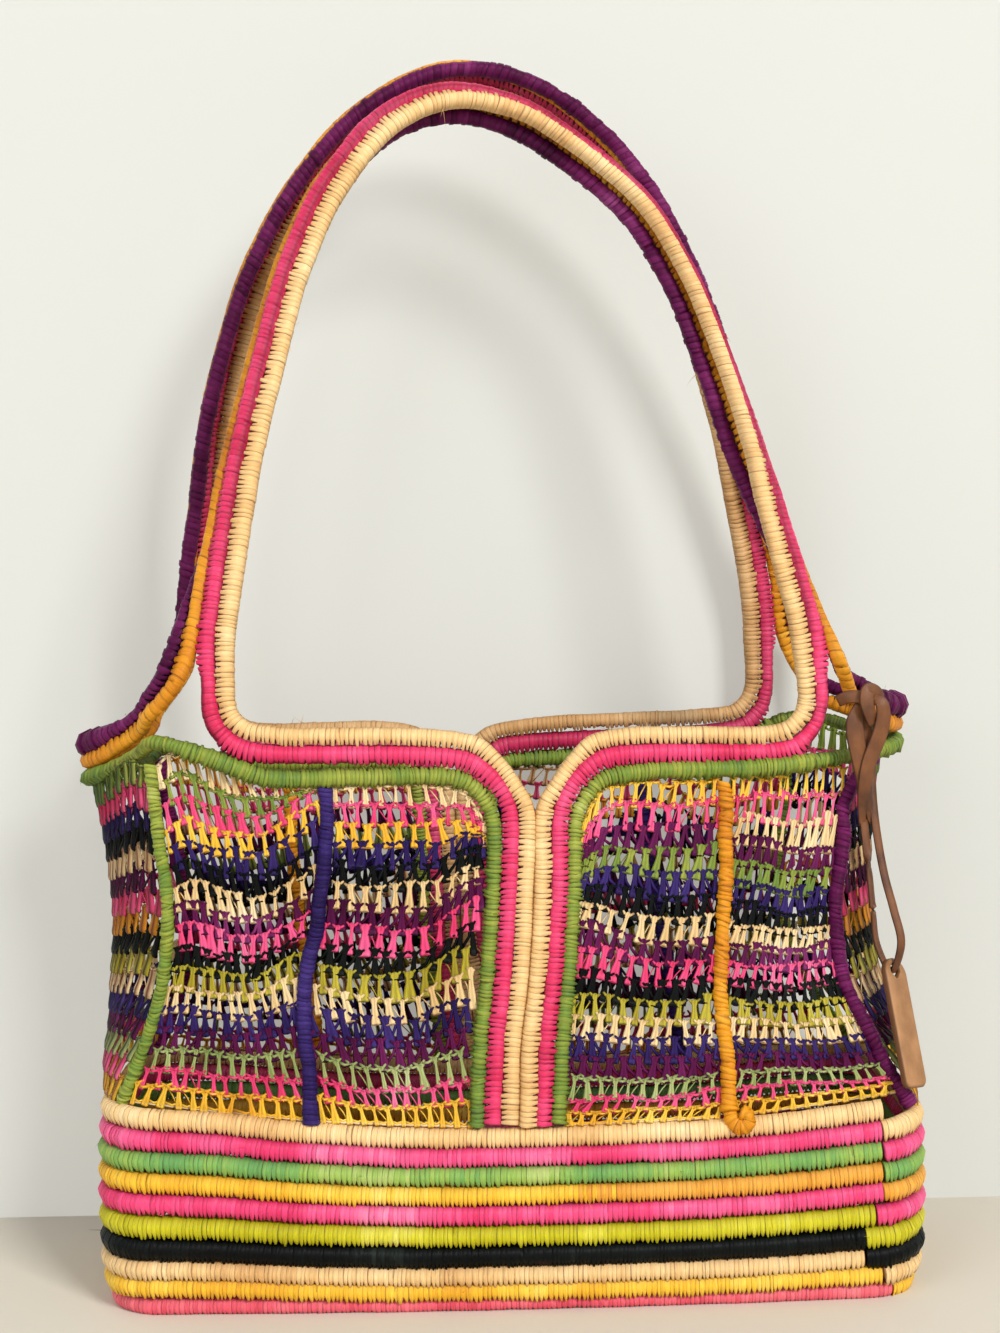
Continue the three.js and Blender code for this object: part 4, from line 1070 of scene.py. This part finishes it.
def make_tag():
    """A small bare tag with a rounded top and a hole for the thong."""
    top, down, out, across, length = tag_frame()
    half, corner, bevel, hole = TAG["width"] / 2, TAG["corner"], TAG["bevel"], TAG["hole"]
    outline = np.vstack([
        arc(0, -half, half, 0, 180, 17), arc(-half + corner, -length + corner, corner, 180, 270, 6),
        arc(half - corner, -length + corner, corner, 270, 360, 6),
    ])
    hole_centre = np.array([0, -TAG["hole_down"]])
    away = unit(outline - hole_centre)
    inward = unit(outline - np.array([0, -length / 2]))
    hole_edge, hole_rim = hole_centre + away * hole, hole_centre + away * (hole + 0.35)
    face, rounding = outline - inward * bevel * 2.2, outline - inward * bevel * 0.7
    thick = TAG["thickness"] / 2
    # Columns: outline, height over the middle of the leather, how dark its edge is.
    layers = [
        (hole_edge, thick - 0.25, 0.6), (hole_rim, thick, 0), (face, thick, 0), (rounding, thick - 0.15, 0.5),
        (outline, thick - bevel, 1), (outline, -thick + bevel, 1), (rounding, -thick + 0.15, 0.5),
        (face, -thick, 0), (hole_rim, -thick, 0), (hole_edge, -thick + 0.25, 0.6),
    ]
    rings = []
    for flat, height, _ in layers:
        bend = TAG["bow"] * np.sin(np.clip(-flat[:, 1] / length, 0, 1) * math.pi)
        rings.append(top + flat[:, :1] * across - flat[:, 1:] * down + (height + bend)[:, None] * out)
    count = len(outline)
    points = np.concatenate(rings)
    # The last ring joins the first one inside the hole.
    quads = ring_quads(len(rings) + 1, count) % len(points)
    seams = np.repeat([dark for _, _, dark in layers], count)
    straw = Straw()
    straw.add(points, quads[:, ::-1], np.zeros((len(points), 3)), seams)
    piece = straw.build("leather_tag", [TAG_LEATHER])
    ride(piece, "tie_tag")
    return piece


tag = make_tag()
thong, thong_line = make_thong()
thong_length = lengths_along(thong_line)[-1]
[tuple(p * MM) for p in at_lengths(thong_line, np.linspace(0, thong_length, 36))]


# Width of the strips on each coil of the base, and the straw that differs there from its name.
BASE_STRIPS = {"natural": 1.75, "pink": 1.7, "green": 1.8, "black": 1.6}
BASE_STRIP = 1.65
BASE_STRAWS = {"pink": "rose", "green": "meadow"}
# One coil changes its straw half way along the front, at a ragged line.
TWO_TONE = {"level": 6, "second": "amber", "from_x": 26, "ragged": 12, "ripple": 1.9}


def second_tone(centre):
    x = centre[:, 0]
    ragged = TWO_TONE["ragged"] * np.sin(x * TWO_TONE["ripple"])
    return (x + ragged > TWO_TONE["from_x"]).astype(np.int32)


def base_swell(centre):
    """The coils of the base are as thick as the space that they have."""
    return pitch_at(centre[:, 0] - BASE_SHIFT) / WALL["middle_pitch"]


def make_wall():
    for level, (name, straw_name, *_) in enumerate(WALL_COILS):
        rng = np.random.default_rng(100 + level)
        straw = Straw()
        looks = [STRAWS[BASE_STRAWS.get(straw_name, straw_name)]]
        two_tone = level == TWO_TONE["level"]
        if two_tone:
            looks.append(STRAWS[TWO_TONE["second"]])
        width = WALL["coil"] * THICKNESSES[level]
        wrap = BASE_STRIPS.get(straw_name, BASE_STRIP)
        pale = straw_name in ("natural", "lime", "green")
        # Shade is painted where each coil meets its neighbours and on its hidden inner side, less on top of
        # the highest coil.
        centre, _, across, run = wrap_coil(
            straw, wall_route(level), width, wrap, rng, BELOW, reach=1.1 if level else 0.2,
            angles=BASE_ANGLES, groove=0.1, slant=0.25, look=second_tone if two_tone else None,
            shade=(0.7, 0.6 if level < LEVEL_TOP else 0.1), inside=0.55, line=0.75 if pale else 0.6,
            swell=base_swell,
        )
        stray_fibres(straw, centre - across * 3, -across, run, 6, 4, rng)
        piece = straw.build(name.replace("wall_coil", "base_coil") + "_wrapped", looks)
        ride(piece, name)


def make_floor():
    straw = Straw()
    rng = np.random.default_rng(90)
    wrap_coil(straw, floor_route(), FLOOR["coil"], FLOOR["strip"], rng, groove=0.3, shade=(0, 0))
    piece = straw.build("floor_spiral", [STRAWS["pink"]])
    ride(piece, "floor")


# How much thicker the coils are in some places, as shares. Columns: straw, over the handles, along
# the rim, at the tips of the ears.
SWELLS = {
    "natural": (0.2, 0.04, 0.25), "pink": (0.12, 0.28, 0.25), "green": (0, 0.32, 0.25),
    "orange": (0.04, 0, 0.25), "purple": (0.16, 0, 0.9),
}
COLUMN_SWELL = 0.08


def coil_swell(straw_name):
    handle, rim, ear = SWELLS[straw_name]

    def swell(centre):
        across, height = np.abs(centre[:, 0] + 0.3), centre[:, 2]
        ears = 1 + ear * ease(across, 143, 156)
        low = ease(height, 184, 198) * ease(height, 235, 212) * ease(across, 124, 110)
        column = COLUMN_SWELL * ease(height, 184, 170)
        return ears * (1 + handle * ease(height, 210, 250) + rim * low + column)
    return swell


# How the coils of rim and handles are wound. Columns: straw, strip width, reach of its hooks,
# groove, unevenness, painted shade on its two sides, teeth on the far side, tilt of its strips.
WINDING = {
    "natural": (1.9, 1.45, 0.15, 0.02, (0.6, 0.3), 0, 0.09),
    "pink": (2.0, 1.45, 0.16, 0.025, (0.7, 0.7), 0, 0.09),
    "green": (1.5, 0, 0.3, 0.06, (0.7, 0.4), 1.3, 0.24),
    "orange": (3.0, 1, 0.14, 0.02, (0.5, 0.3), 0, 0.09),
    "purple": (2.6, 0, 0.26, 0.06, (0.4, 0.1), 0, 0.09),
}


def make_rim_and_handles():
    orange, purple = ring_route("orange", 2), ring_route("purple", 3)
    greens = {name: green_route(side) for side, name in SIDES.items()}
    naturals = {label: inner_route(face, 0) for label, face in FACES.items()}
    pinks = {label: inner_route(face, 1) for label, face in FACES.items()}
    # Columns: node, straw, route, the routes that it hooks into.
    coils = []
    for label in FACES:
        coils.append(("handle_coil_natural_" + label, "natural", naturals[label], [pinks[label]]))
        coils.append(("handle_coil_pink_" + label, "pink", pinks[label], [*greens.values(), orange]))
    for name, route in greens.items():
        coils.append(("rim_coil_green_" + name, "green", route, list(pinks.values())))
    coils.append(("handle_ring_orange", "orange", orange, [purple]))
    coils.append(("handle_ring_purple", "purple", purple, [orange]))
    for index, (node, straw_name, route, toward) in enumerate(coils):
        rng = np.random.default_rng(200 + index)
        wrap, reach, groove, uneven, shade, far, tilts = WINDING[straw_name]
        straw = Straw()
        centre, down, _, run = wrap_coil(
            straw, route, RIM["coil"], wrap, rng, np.vstack(toward), reach=reach, groove=groove,
            uneven=uneven, within=1.5, shade=shade, far=far, swell=coil_swell(straw_name), slant=0.25,
            tilts=tilts, teeth=0.5,
        )
        stray_fibres(straw, centre - down * 2.4, -down, run, 26, 5, rng)
        # The back handle takes the dull straws, darker copies of its own: painted shade.
        behind = node.endswith("_back")
        piece = straw.build(node + "_wrapped", [STRAWS["dull " + straw_name if behind else straw_name]])
        ride(piece, node)


# How each straw is wound on a rib. Columns: strip width, groove, unevenness, tilt of the strips.
RIB_WINDING = {
    "violet": (1.7, 0.24, 0.04, 0.14), "orange": (1.9, 0.4, 0.07, 0.3), "green": (1.5, 0.34, 0.08, 0.34),
    "purple": (1.9, 0.34, 0.06, 0.24),
}
# The purple corner rib bends out to the ear at its top.
EAR_BEND = [(128.6, -39.4, 180), (133, -37.5, 188), (139.5, -34.5, 194), (143, -33, 199)]


def make_ribs():
    for index, (label, (side, face, straw_name, top)) in enumerate(CORNERS.items()):
        spots = corner_stations(label)
        if label == "front_right":
            spots = np.vstack([spots[:-1], EAR_BEND])
        route = rounded(twisted(spots), 12)
        rib_piece("corner_rib_" + label, route, straw_name, 300 + index)
    for index, (straw_name, *row) in enumerate(MID_RIBS):
        for turn, (label, face) in zip((1, -1), FACES.items()):
            route = mid_rib_route(face, turn, row)
            rib_piece(f"rib_{straw_name}_{label}", route, straw_name, 310 + 2 * index + (turn > 0))


# The foot of the orange rib on the front curls over the base. Steps from the foot.
FOOT_CURL = np.array([
    (3.4, -2.2, 3.4), (5.6, -2.8, 2.2), (5.4, -3.4, -0.6), (2.8, -3.2, -1.4), (0.2, -1.6, 1.8),
])


def foot_swell(centre):
    return 1 + 0.22 * (1 - ease(centre[:, 2], 66, 80))


def rib_piece(node, route, straw_name, seed):
    rng = np.random.default_rng(seed)
    wrap, groove, uneven, tilts = RIB_WINDING[straw_name]
    steps = 12
    if node == "rib_orange_front":
        route = rounded(np.vstack([route[0] + FOOT_CURL, route[steps::steps]]), steps)
    width = RIB["width"] * (0.82 if straw_name == "green" else 0.97)
    straw = Straw()
    centre, _, _, run = wrap_coil(
        straw, route, width, wrap, rng, groove=groove, uneven=uneven, wobble=0.3, shade=(0, 0), slant=0.3,
        tilts=tilts, swell=foot_swell,
    )
    stray_fibres(straw, centre, rng.normal(0, 1, centre.shape), run, 12, 5, rng)
    piece = straw.build(node + "_wrapped", [STRAWS[straw_name]])
    ride(piece, node)


# ---- the net --------------------------------------------------------------------------------
# Gaps from the net to what carries it, the widths of that, and how far the stitches are tucked
# under the straw there. order is where the net ends beside the green coil of the centre column.
NET = {
    "seat": 0.6, "side_seat": 0.8, "ear_clear": 1.8, "rim_clear": 0.75, "order": 2.56, "side_climb": 1.15,
    "rib_width": 5.6, "rib_tuck": 0.7, "corner_tuck": 1.4, "rim_width": 5.1, "rim_tuck": 0.9, "ear_tuck": 1.2,
}


def half_width(width):
    """From the middle of a six-sided coil to its corners."""
    return width / 2 / math.cos(math.pi / 6)


RIB_GAP = half_width(NET["rib_width"]) + RIB["clear"] - NET["rib_tuck"]
CORNER_GAP = half_width(NET["rib_width"]) + RIB["corner_clear"] - NET["corner_tuck"]
RIM_GAP = half_width(NET["rim_width"]) + NET["rim_clear"] - NET["rim_tuck"]
EAR_GAP = RIM["coil"] / 2 + NET["ear_clear"] - NET["ear_tuck"]

# Rows of the net from the base up, by the straw they are worked in.
LOW_ROWS = [
    "yellow", "rose", "sage", "purple", "violet", "cream", "olive", "black", "rose", "purple",
    "cream", "black", "violet",
]
ROWS = {
    "left_outer": LOW_ROWS + ["yellow", "rose", "green", "cream"],
    "left_inner": LOW_ROWS + ["yellow", "rose", "cream"],
    "right_inner": LOW_ROWS + ["green", "purple", "rose", "yellow"],
    "right_outer": LOW_ROWS + ["green", "purple", "cream", "rose", "yellow"],
    "side": LOW_ROWS[:8] + ["orange", "rose", "purple", "cream", "black", "violet", "rose", "green"],
}
# How far the rows are pulled up or down at four places across a panel, from its first side to its
# second. Columns: the share of the height this holds at.
PULL_AT = [0, 0.12, 0.3, 0.45, 0.6, 0.8, 0.88, 1]
PULLS = {
    "left_outer": [
        (0, 0, 8, 11, 12, 17, 14, 0), (0, 0, 3, 4, 4, 6, 4, 0), (0, 0, 1, 1, 1, 0, -1, 0),
        (0, -3, -3, -2, -2, -2, -1, 0),
    ],
    "left_inner": [
        (0, 3, 11, 18, 22, 18, 10, 0), (0, -1, 3, 5, 6, 5, 3, 0), (0, -2, 2, 4, 5, 4, 3, 0),
        (0, 0, 2, 3, 3, 2, 1, 0),
    ],
    "right_inner": [
        (0, -5, -1, 1, 9, 3, 1, 0), (0, -5, -3, -2, 0, 1, 0, 0), (0, -5, -5, -5, -5, -3, -2, 0),
        (0, -5, -9, -8, -9, -6, -3, 0),
    ],
    "right_outer": [
        (0, -4, -7, -7, -7, -4, -2, 0), (0, -3, -5, -5, -5, -4, -3, 0),
        (0, -5, -6, -6, -8, -9, -6, 0), (0, -6, -9, -9, -11, -12, -8, 0),
    ],
    "side": [(0, 0, 0, 0, 0, 0, 0, 0)] * 4,
}
NET_STRAWS = ["cream", "rose", "green", "orange", "yellow", "purple", "violet", "black", "olive", "sage"]


def patch(bottom, top, left, right):
    """A surface filled in between four edges, from the low left corner outwards and upwards."""
    edges = [np.asarray(edge, float) for edge in (bottom, top, left, right)]
    bottom, top, left, right = (rounded(edge, 6) if len(edge) > 2 else edge for edge in edges)

    def at(u, v):
        u1, v1 = u[:, None], v[:, None]
        return (
            along(bottom, u) * (1 - v1) + along(top, u) * v1 + by_point(left, v) * (1 - u1)
            + by_point(right, v) * u1 - bottom[0] * (1 - u1) * (1 - v1) - bottom[-1] * u1 * (1 - v1)
            - top[0] * (1 - u1) * v1 - top[-1] * u1 * v1
        )
    return at


def face_panels(label, side):
    """The inner and the outer net panel of half a face, as surfaces."""
    face = FACES[label]
    turn = -face["sign"]
    straw_name, *row = MID_RIBS[0] if turn * side < 0 else MID_RIBS[1]
    row = [turn * value for value in row]

    def base(x):
        return np.array([x, float(wall_top(x)) + NET["seat"]])

    edge = rim_half(face, NET["order"], side)
    name = f"{label}_{SIDES[side]}"
    green = np.array(GREEN_CORNERS[name], float)
    outer = np.column_stack([green[:, 0], green[:, 2] - RIM_GAP])
    head_z = face["rim_z"] - 2 * RIM["drop"] - RIM_GAP

    def rib_line(offset):
        foot = base(rib_x(row, 0) + offset)
        share = np.array(RIB_SHARES)
        return np.column_stack([rib_x(row, share) + offset, mix(foot[1], head_z, share)])

    near, far = rib_line(-side * RIB_GAP), rib_line(side * RIB_GAP)
    start, turn_off = base(edge[0, 0]), len(face["column"])
    inner = patch([start, near[0]], [*edge[turn_off:], near[-1]], [start, edge[turn_off]], near)
    corner = corner_stations(name)
    corner_line = np.column_stack([corner[:, 0] - side * CORNER_GAP, corner[:, 2]])
    corner_line[0] = base(corner_line[0, 0])
    outer_top = [far[-1], *outer[:-1], corner_line[-1]]
    outward = patch([far[0], corner_line[0]], outer_top, far, corner_line)

    def surface_of(flat):
        def surface(u, v):
            spots = flat(u, v)
            x, z = spots[:, 0], spots[:, 1]
            return twisted(np.column_stack([x, face["sign"] * face_depth(x, z), z]))
        return surface
    return surface_of(inner), surface_of(outward)


def side_panel(side):
    """The side panel from corner rib to corner rib under the ear, as a surface."""
    ear = EARS[side]
    lines = []
    for label in FACES:
        stations = corner_stations(f"{label}_{SIDES[side]}")
        lines.append(np.column_stack([stations[:, 1] - np.sign(stations[:, 1]) * CORNER_GAP, stations[:, 2]]))
    front, back = lines
    top = np.vstack([front[-1], np.column_stack([ear[:, 1], ear[:, 2] - EAR_GAP]), back[-1]])
    step_y = wall_plan(INSETS[LEVEL_TOP])[0, 1]
    y = mix(front[0, 0], back[0, 0], np.array(RIB_SHARES))
    climbed = ease((y - step_y) * NET["side_climb"], 0, WALL["climb"])
    below = 1 - climbed if side > 0 else np.zeros(len(y))
    bottom_z = wall_top(side * WALL["half_width"]) - below * WALL["corner_pitch"] + NET["side_seat"]
    bottom = np.column_stack([y, bottom_z])
    front[0], back[0] = bottom[0], bottom[-1]
    top[0], top[-1] = front[-1], back[-1]
    flat = patch(bottom, top, front, back)

    def surface(u, v):
        spots = flat(u, v)
        y, z = spots[:, 0], spots[:, 1]
        return twisted(np.column_stack([side * side_distance(y, z), y, z]))
    return surface


# One stitch, in millimetres. Columns: across, up from the row below, out of the net, width. Each
# ends in a wide foot over the stitches below it, and its head stands up between two feet. SLIM is
# worked in the lowest and highest rows, FULL on the two sides of the bag and POST on its faces.
STITCH_HIGH = 7.4
STITCH_WIDE = 5.4
POST = [
    (0.1, 9.0, 0.0, 1.4), (0, 8.4, 0.35, 2.8), (0, 7.6, 0.5, 2.8), (0, 6.6, 0.5, 2.0),
    (0.05, 4.9, 0.55, 2.2), (0.1, 2.9, 0.75, 3.0), (0.15, 0.9, 1.0, 3.9), (0.15, -0.5, 0.9, 4.1),
    (0.15, -0.95, 0.1, 3.2),
]
FULL = [
    (0.1, 8.8, 0.0, 1.8), (0, 8.2, 0.35, 3.0), (0, 7.4, 0.5, 3.3), (0, 6.4, 0.5, 3.1),
    (0.05, 4.9, 0.55, 3.1), (0.1, 2.9, 0.75, 3.5), (0.15, 0.9, 1.0, 4.1), (0.15, -0.5, 0.9, 4.2),
    (0.15, -0.95, 0.1, 3.2),
]
SLIM = [
    (0, 8.3, 0.0, 1.6), (0, 7.9, 0.5, 3.2), (0, 7.1, 0.7, 2.9), (0, 6.1, 0.6, 1.5), (0.05, 4.4, 0.5, 1.6),
    (0.1, 2.6, 0.5, 2.1), (0.15, 0.9, 0.8, 2.8), (0.15, -0.2, 0.8, 2.9), (0.15, -0.7, 0.1, 2.2),
]
# The two ends of a head, and a link from one head to the next.
HORN = [(-2.3, 9.2, 0.2, 0.7), (-0.9, 8.0, 0.85, 1.3), (0.7, 7.8, 0.9, 1.35), (2.2, 9.0, 0.2, 0.7)]
LINK = [(0.9, 7.7, 0.4, 1.2), (2.7, 7.25, 0.15, 1.0), (4.5, 7.7, 0.4, 1.2)]
# The lowest stitches stand on small loops, and those on a thin line along the top coil.
LOOP = [(0, 2.0, 0.7, 0.8), (2.7, 0.5, 0.9, 1.0), (5.4, 2.0, 0.7, 0.8)]
SEAT_LINE = [(-0.2, 0.3, 0.8, 1.2), (2.7, 0.0, 1.1, 1.3), (5.6, 0.3, 0.8, 1.2)]
# Strips that run across a hole of the net: a loose thread, or a crossing in the dark rows.
THREAD = [(0.8, 0.6, 0.9, 0.5), (2.4, 4.0, 1.2, 0.45), (4.4, 7.6, 0.9, 0.5)]
CROSSING = [(0.4, 7.6, 0.5, 1.3), (2.2, 4.2, 0.9, 1.1), (4.8, 0.4, 1.3, 1.5)]
# The flat strip is folded lengthwise, so that it shows a crease.
POST_SECTION = np.array([(-1, 0), (-0.55, 1), (-0.05, 0.45), (0.5, 1), (1, 0), (0, -0.8)])
CORD_SECTION = np.array([(-1, 0), (0, 1), (1, 0), (0, -1)])


def lay_strips(straw, place, table, section, cells, across, up, sizes, tones, look, thick):
    """Short strips of straw, one for each cell."""
    n, m, sides = len(cells), len(table), len(section)
    spot, normal = place(across, up, np.broadcast_to(table[None, :, 2], (n, m)))
    run = unit(np.gradient(spot, axis=1))
    side = unit(np.cross(normal, run))
    face = np.cross(run, side)
    half = table[None, :, 3] * sizes[cells][:, None] / 2
    ring = (
        spot[:, :, None, :]
        + side[:, :, None, :] * (half[:, :, None] * section[:, 0])[..., None]
        - face[:, :, None, :] * (thick * section[:, 1])[None, None, :, None]
    )
    quads = (tube_quads(m, sides)[None] + (np.arange(n) * m * sides)[:, None, None]).reshape(-1, 4)
    tone = tones[cells][:, None, None]
    marks = np.zeros((n, m, sides, 3))
    marks[..., 0] = section[:, 0] * table[None, :, 3, None] / 2 + tone * 31
    marks[..., 1] = up[..., None]
    marks[..., 2] = tone
    # Shade painted along the crease and on the back, at the foot, and a little at the head.
    seams = np.zeros((n, m, sides))
    seams[:, :, 2 % sides] = 0.35 if sides > 4 else 0
    seams[:, :, sides - 1] = 1.1
    seams[:, -1] = 0.7
    seams[:, 0] = np.maximum(seams[:, 0], 0.3)
    straw.add(ring.reshape(-1, 3), quads[:, ::-1], marks.reshape(-1, 3), seams.ravel(), look)


DENSE_STRAWS = ("purple", "violet", "black")
# Columns: part of the bag, stitches in a row, lean of the stitches, sag of the rows, and how many
# of the strips across its holes it has.
PANELS = {"inner": (11, -1.1, 5, 1), "outer": (12, -1.1, 5, 0.3), "side": (17, 0.4, 0, 1)}
BACK_STRIPS = 0.3
# How unlike the stitches are: in place, size, sway and height, and the wave of a row.
UNEVEN = {"place": 0.3, "size": 0.2, "sway": 0.6, "high": 0.06, "wave": 0.6}
# The lean is strongest in the first stitch of a row and is less by loss at its end, and each row
# steps on with it. A stitch stays in place at sway_high, and the highest row ends at top_high.
LEAN = {"first": 1.35, "loss": 0.7, "step": 1.15, "sway_high": 7.0, "top_high": 8.0}


def panel_width(surface, height, margin=0.0):
    return lengths_along(surface(np.linspace(margin, 1 - margin, 24), np.full(24, height)))[-1]


def net_places(surface, kind, rise, sag, mirror):
    """A function that finds where the stitches of a row lie on a panel."""
    pulls = np.array(PULLS[kind], float)
    margin, eps = 0.003, 1e-3

    def pulled(u, v):
        """Where on the surface a place of the even net really lies."""
        across = np.clip(u, 0, 1) * (len(pulls) - 1)
        first = np.minimum(across.astype(int), len(pulls) - 2)
        low = np.array([np.interp(v, PULL_AT, row) for row in pulls])
        index = np.arange(len(v))
        lift = mix(low[first, index], low[first + 1, index], across - first)
        drop = sag * np.sin(np.clip(u, 0, 1) * math.pi) * np.sin(np.clip(v, 0, 1) * math.pi)
        return v + (lift - drop) / rise

    def place_in(row, wide):
        def place(across, up, out):
            u = (across / wide).ravel()
            v = pulled(u, (row + up.ravel() / STITCH_HIGH) / len(ROWS[kind]))
            uc, vc = np.clip(u, margin, 1 - margin), np.clip(v, margin, 1 - margin)
            du = (surface(uc + eps, vc) - surface(uc - eps, vc)) / (2 * eps)
            dv = (surface(uc, vc + eps) - surface(uc, vc - eps)) / (2 * eps)
            spot = surface(uc, vc) + du * (u - uc)[:, None] + dv * (v - vc)[:, None]
            normal = unit(np.cross(du, dv)) * mirror
            spot = spot + normal * out.ravel()[:, None]
            return spot.reshape(*across.shape, 3), normal.reshape(*across.shape, 3)
        return place
    return place_in


def row_parts(kind, row, straw_name):
    """The strips of one stitch of a row. Columns: strip, section, thickness, straw, how many holes
    it runs across, or None where every stitch has it."""
    look = NET_STRAWS.index(straw_name)
    slim = row < 3 or row >= len(ROWS[kind]) - 2
    stitch = FULL if kind == "side" else SLIM if slim else POST
    parts = [(stitch, POST_SECTION, 0.9 if kind == "side" else 0.42, look, None),
             (HORN, CORD_SECTION, 0.3, look, None)]
    if straw_name in DENSE_STRAWS:
        parts.append((CROSSING, CORD_SECTION, 0.3, look, 0.9))
    else:
        parts.append((THREAD, CORD_SECTION, 0.2, look, 0.45))
    if slim:
        parts.append((LINK, CORD_SECTION, 0.28, look, 1))
    if row == 0:
        parts += [(LOOP, CORD_SECTION, 0.3, look, 1), (SEAT_LINE, CORD_SECTION, 0.35, 0, 1)]
    return parts


def net_panel(name, surface, kind, seed, mirror):
    """The stitches of one panel, row by row from the base up."""
    rng = np.random.default_rng(seed)
    straw = Straw()
    rows = ROWS[kind]
    columns, lean, sag, across_share = PANELS[kind.split("_")[-1]]
    if name.startswith("net_back"):
        across_share = BACK_STRIPS
    rise = lengths_along(surface(np.full(24, 0.5), np.linspace(0, 1, 24)))[-1]
    place_in = net_places(surface, kind, rise, sag, mirror)
    for row, straw_name in enumerate(rows):
        wide = panel_width(surface, (row + 0.5) / len(rows), 0.01)
        cell_wide = wide / columns
        phase = (0.5 * row - LEAN["step"] * row * lean / cell_wide) % 1 - 0.5
        middle = (np.arange(-1, columns + 1) + 0.5 + phase) * cell_wide
        middle = middle[(middle > -0.4 * cell_wide) & (middle < wide + 0.4 * cell_wide)]
        count = len(middle)
        middle = middle + UNEVEN["place"] * rng.normal(0, 1, count)
        fit = np.clip(cell_wide / STITCH_WIDE, 0.8, 1.15)
        sizes = fit * np.clip(1 + UNEVEN["size"] * rng.normal(0, 1, count), 0.55, 1.5)
        sway = lean * (LEAN["first"] - LEAN["loss"] * np.arange(count) / count)
        sway = sway + UNEVEN["sway"] * rng.normal(0, 1, count)
        wave = UNEVEN["wave"] * np.sin(np.arange(count) * rng.uniform(0.3, 0.9) + rng.uniform(0, 6))
        high = 1 + UNEVEN["high"] * rng.normal(0, 1, count)
        tones = rng.random(count)
        highest = LEAN["top_high"] if row == len(rows) - 1 else math.inf
        for strip, section, thick, look, holes in row_parts(kind, row, straw_name):
            cells = np.arange(count if holes is None else count - 1)
            if strip in (THREAD, CROSSING):
                cells = cells[rng.random(len(cells)) < holes * across_share]
            table = np.array(strip, float)
            up = table[None, :, 1] * high[cells][:, None]
            up = np.minimum(up, highest) + wave[cells][:, None] * np.clip(up / 3, 0, 1)
            x = middle[cells][:, None] + table[None, :, 0] * fit
            x += (LEAN["sway_high"] - up) / LEAN["sway_high"] * sway[cells][:, None]
            if holes is not None:
                x[:, 2] = middle[cells + 1] - table[0, 0] * fit
            strip_size = sizes if section is POST_SECTION else np.ones(count)
            place = place_in(row, wide)
            lay_strips(straw, place, table, section, cells, x, up, strip_size, tones, look, thick)
    piece = straw.build(name + "_stitches", [STRAWS[straw_name] for straw_name in NET_STRAWS])
    ride(piece, name)
    float(panel_width(surface, 0.4) * MM)


def make_nets():
    seed = 400
    for label, face in FACES.items():
        for side, where in SIDES.items():
            kind = "left_" if side * -face["sign"] < 0 else "right_"
            mirror = -1 if face["sign"] * side < 0 else 1
            for which, surface in zip(("inner", "outer"), face_panels(label, side)):
                seed += 1
                net_panel(f"net_{label}_{where}_{which}", surface, kind + which, seed, mirror)
    for side, where in SIDES.items():
        seed += 1
        net_panel("net_side_" + where, side_panel(side), "side", seed, side)


make_surroundings()
make_wall()
make_floor()
make_rim_and_handles()
make_ribs()
make_nets()

# ---- knot of the tie ------------------------------------------------------------------------
# The band round the coils, the loop over it, the strand that runs out into the right tail, and a
# strap behind them. Columns: points, widths, thickness.
KNOT_STRAPS = [
    ([(124.6, -35.5, 220.4), (128, -38.4, 222), (133, -39.6, 222), (137.5, -39.6, 222.4),
      (140.6, -37.4, 220)], [4.4, 4.8, 4.8, 4.8, 3.8], 1.3),
    ([(140.4, -36.6, 220.6), (138.2, -39.4, 223.6), (134.8, -41, 224.6), (134, -41.6, 220.4),
      (135.2, -41, 216), (137, -38.6, 211.6)], [3.8, 5, 5.4, 5.4, 5, 3.6], 1.3),
    ([(137, -39.2, 221.6), (139.8, -40.6, 219.6), (140.6, -40.2, 214.6), (139.6, -39.4, 208.6),
      (137.6, -38.4, 202.6), (135.6, -37.6, 197), (134.4, -36.6, 190), (134, -34, 182), (134.4, -31.2, 173)],
     [3.6, 5, 5.6, 5.8, 5.8, 5.6, 5.2, 4, 2.4], 1.3),
    ([(134.4, -36.2, 217), (134.8, -36, 210), (134.6, -35.8, 203), (134, -35.6, 196)], [5, 6, 6, 4], 1.2),
]
TAIL_STRAPS = [
    ([(132, -38, 219.4), (130.2, -38.4, 213.4), (130.4, -38.2, 208), (131.4, -37.6, 202.4),
      (132.4, -36.8, 197), (134, -35, 190), (136, -33, 182), (138, -31.4, 174)],
     [3, 6.2, 7.2, 6.6, 5.8, 5, 4, 2.4], 1.3),
]


def make_straps(name, node, straps):
    straw = Straw()
    for points, widths, thickness in straps:
        strap(straw, points, widths, thickness, (0.1, -1, 0.1))
    ride(straw.build(name, [LEATHER]), node)


make_straps("leather_knot", "tie_knot", KNOT_STRAPS)
make_straps("leather_tail", "tie_tail", TAIL_STRAPS)
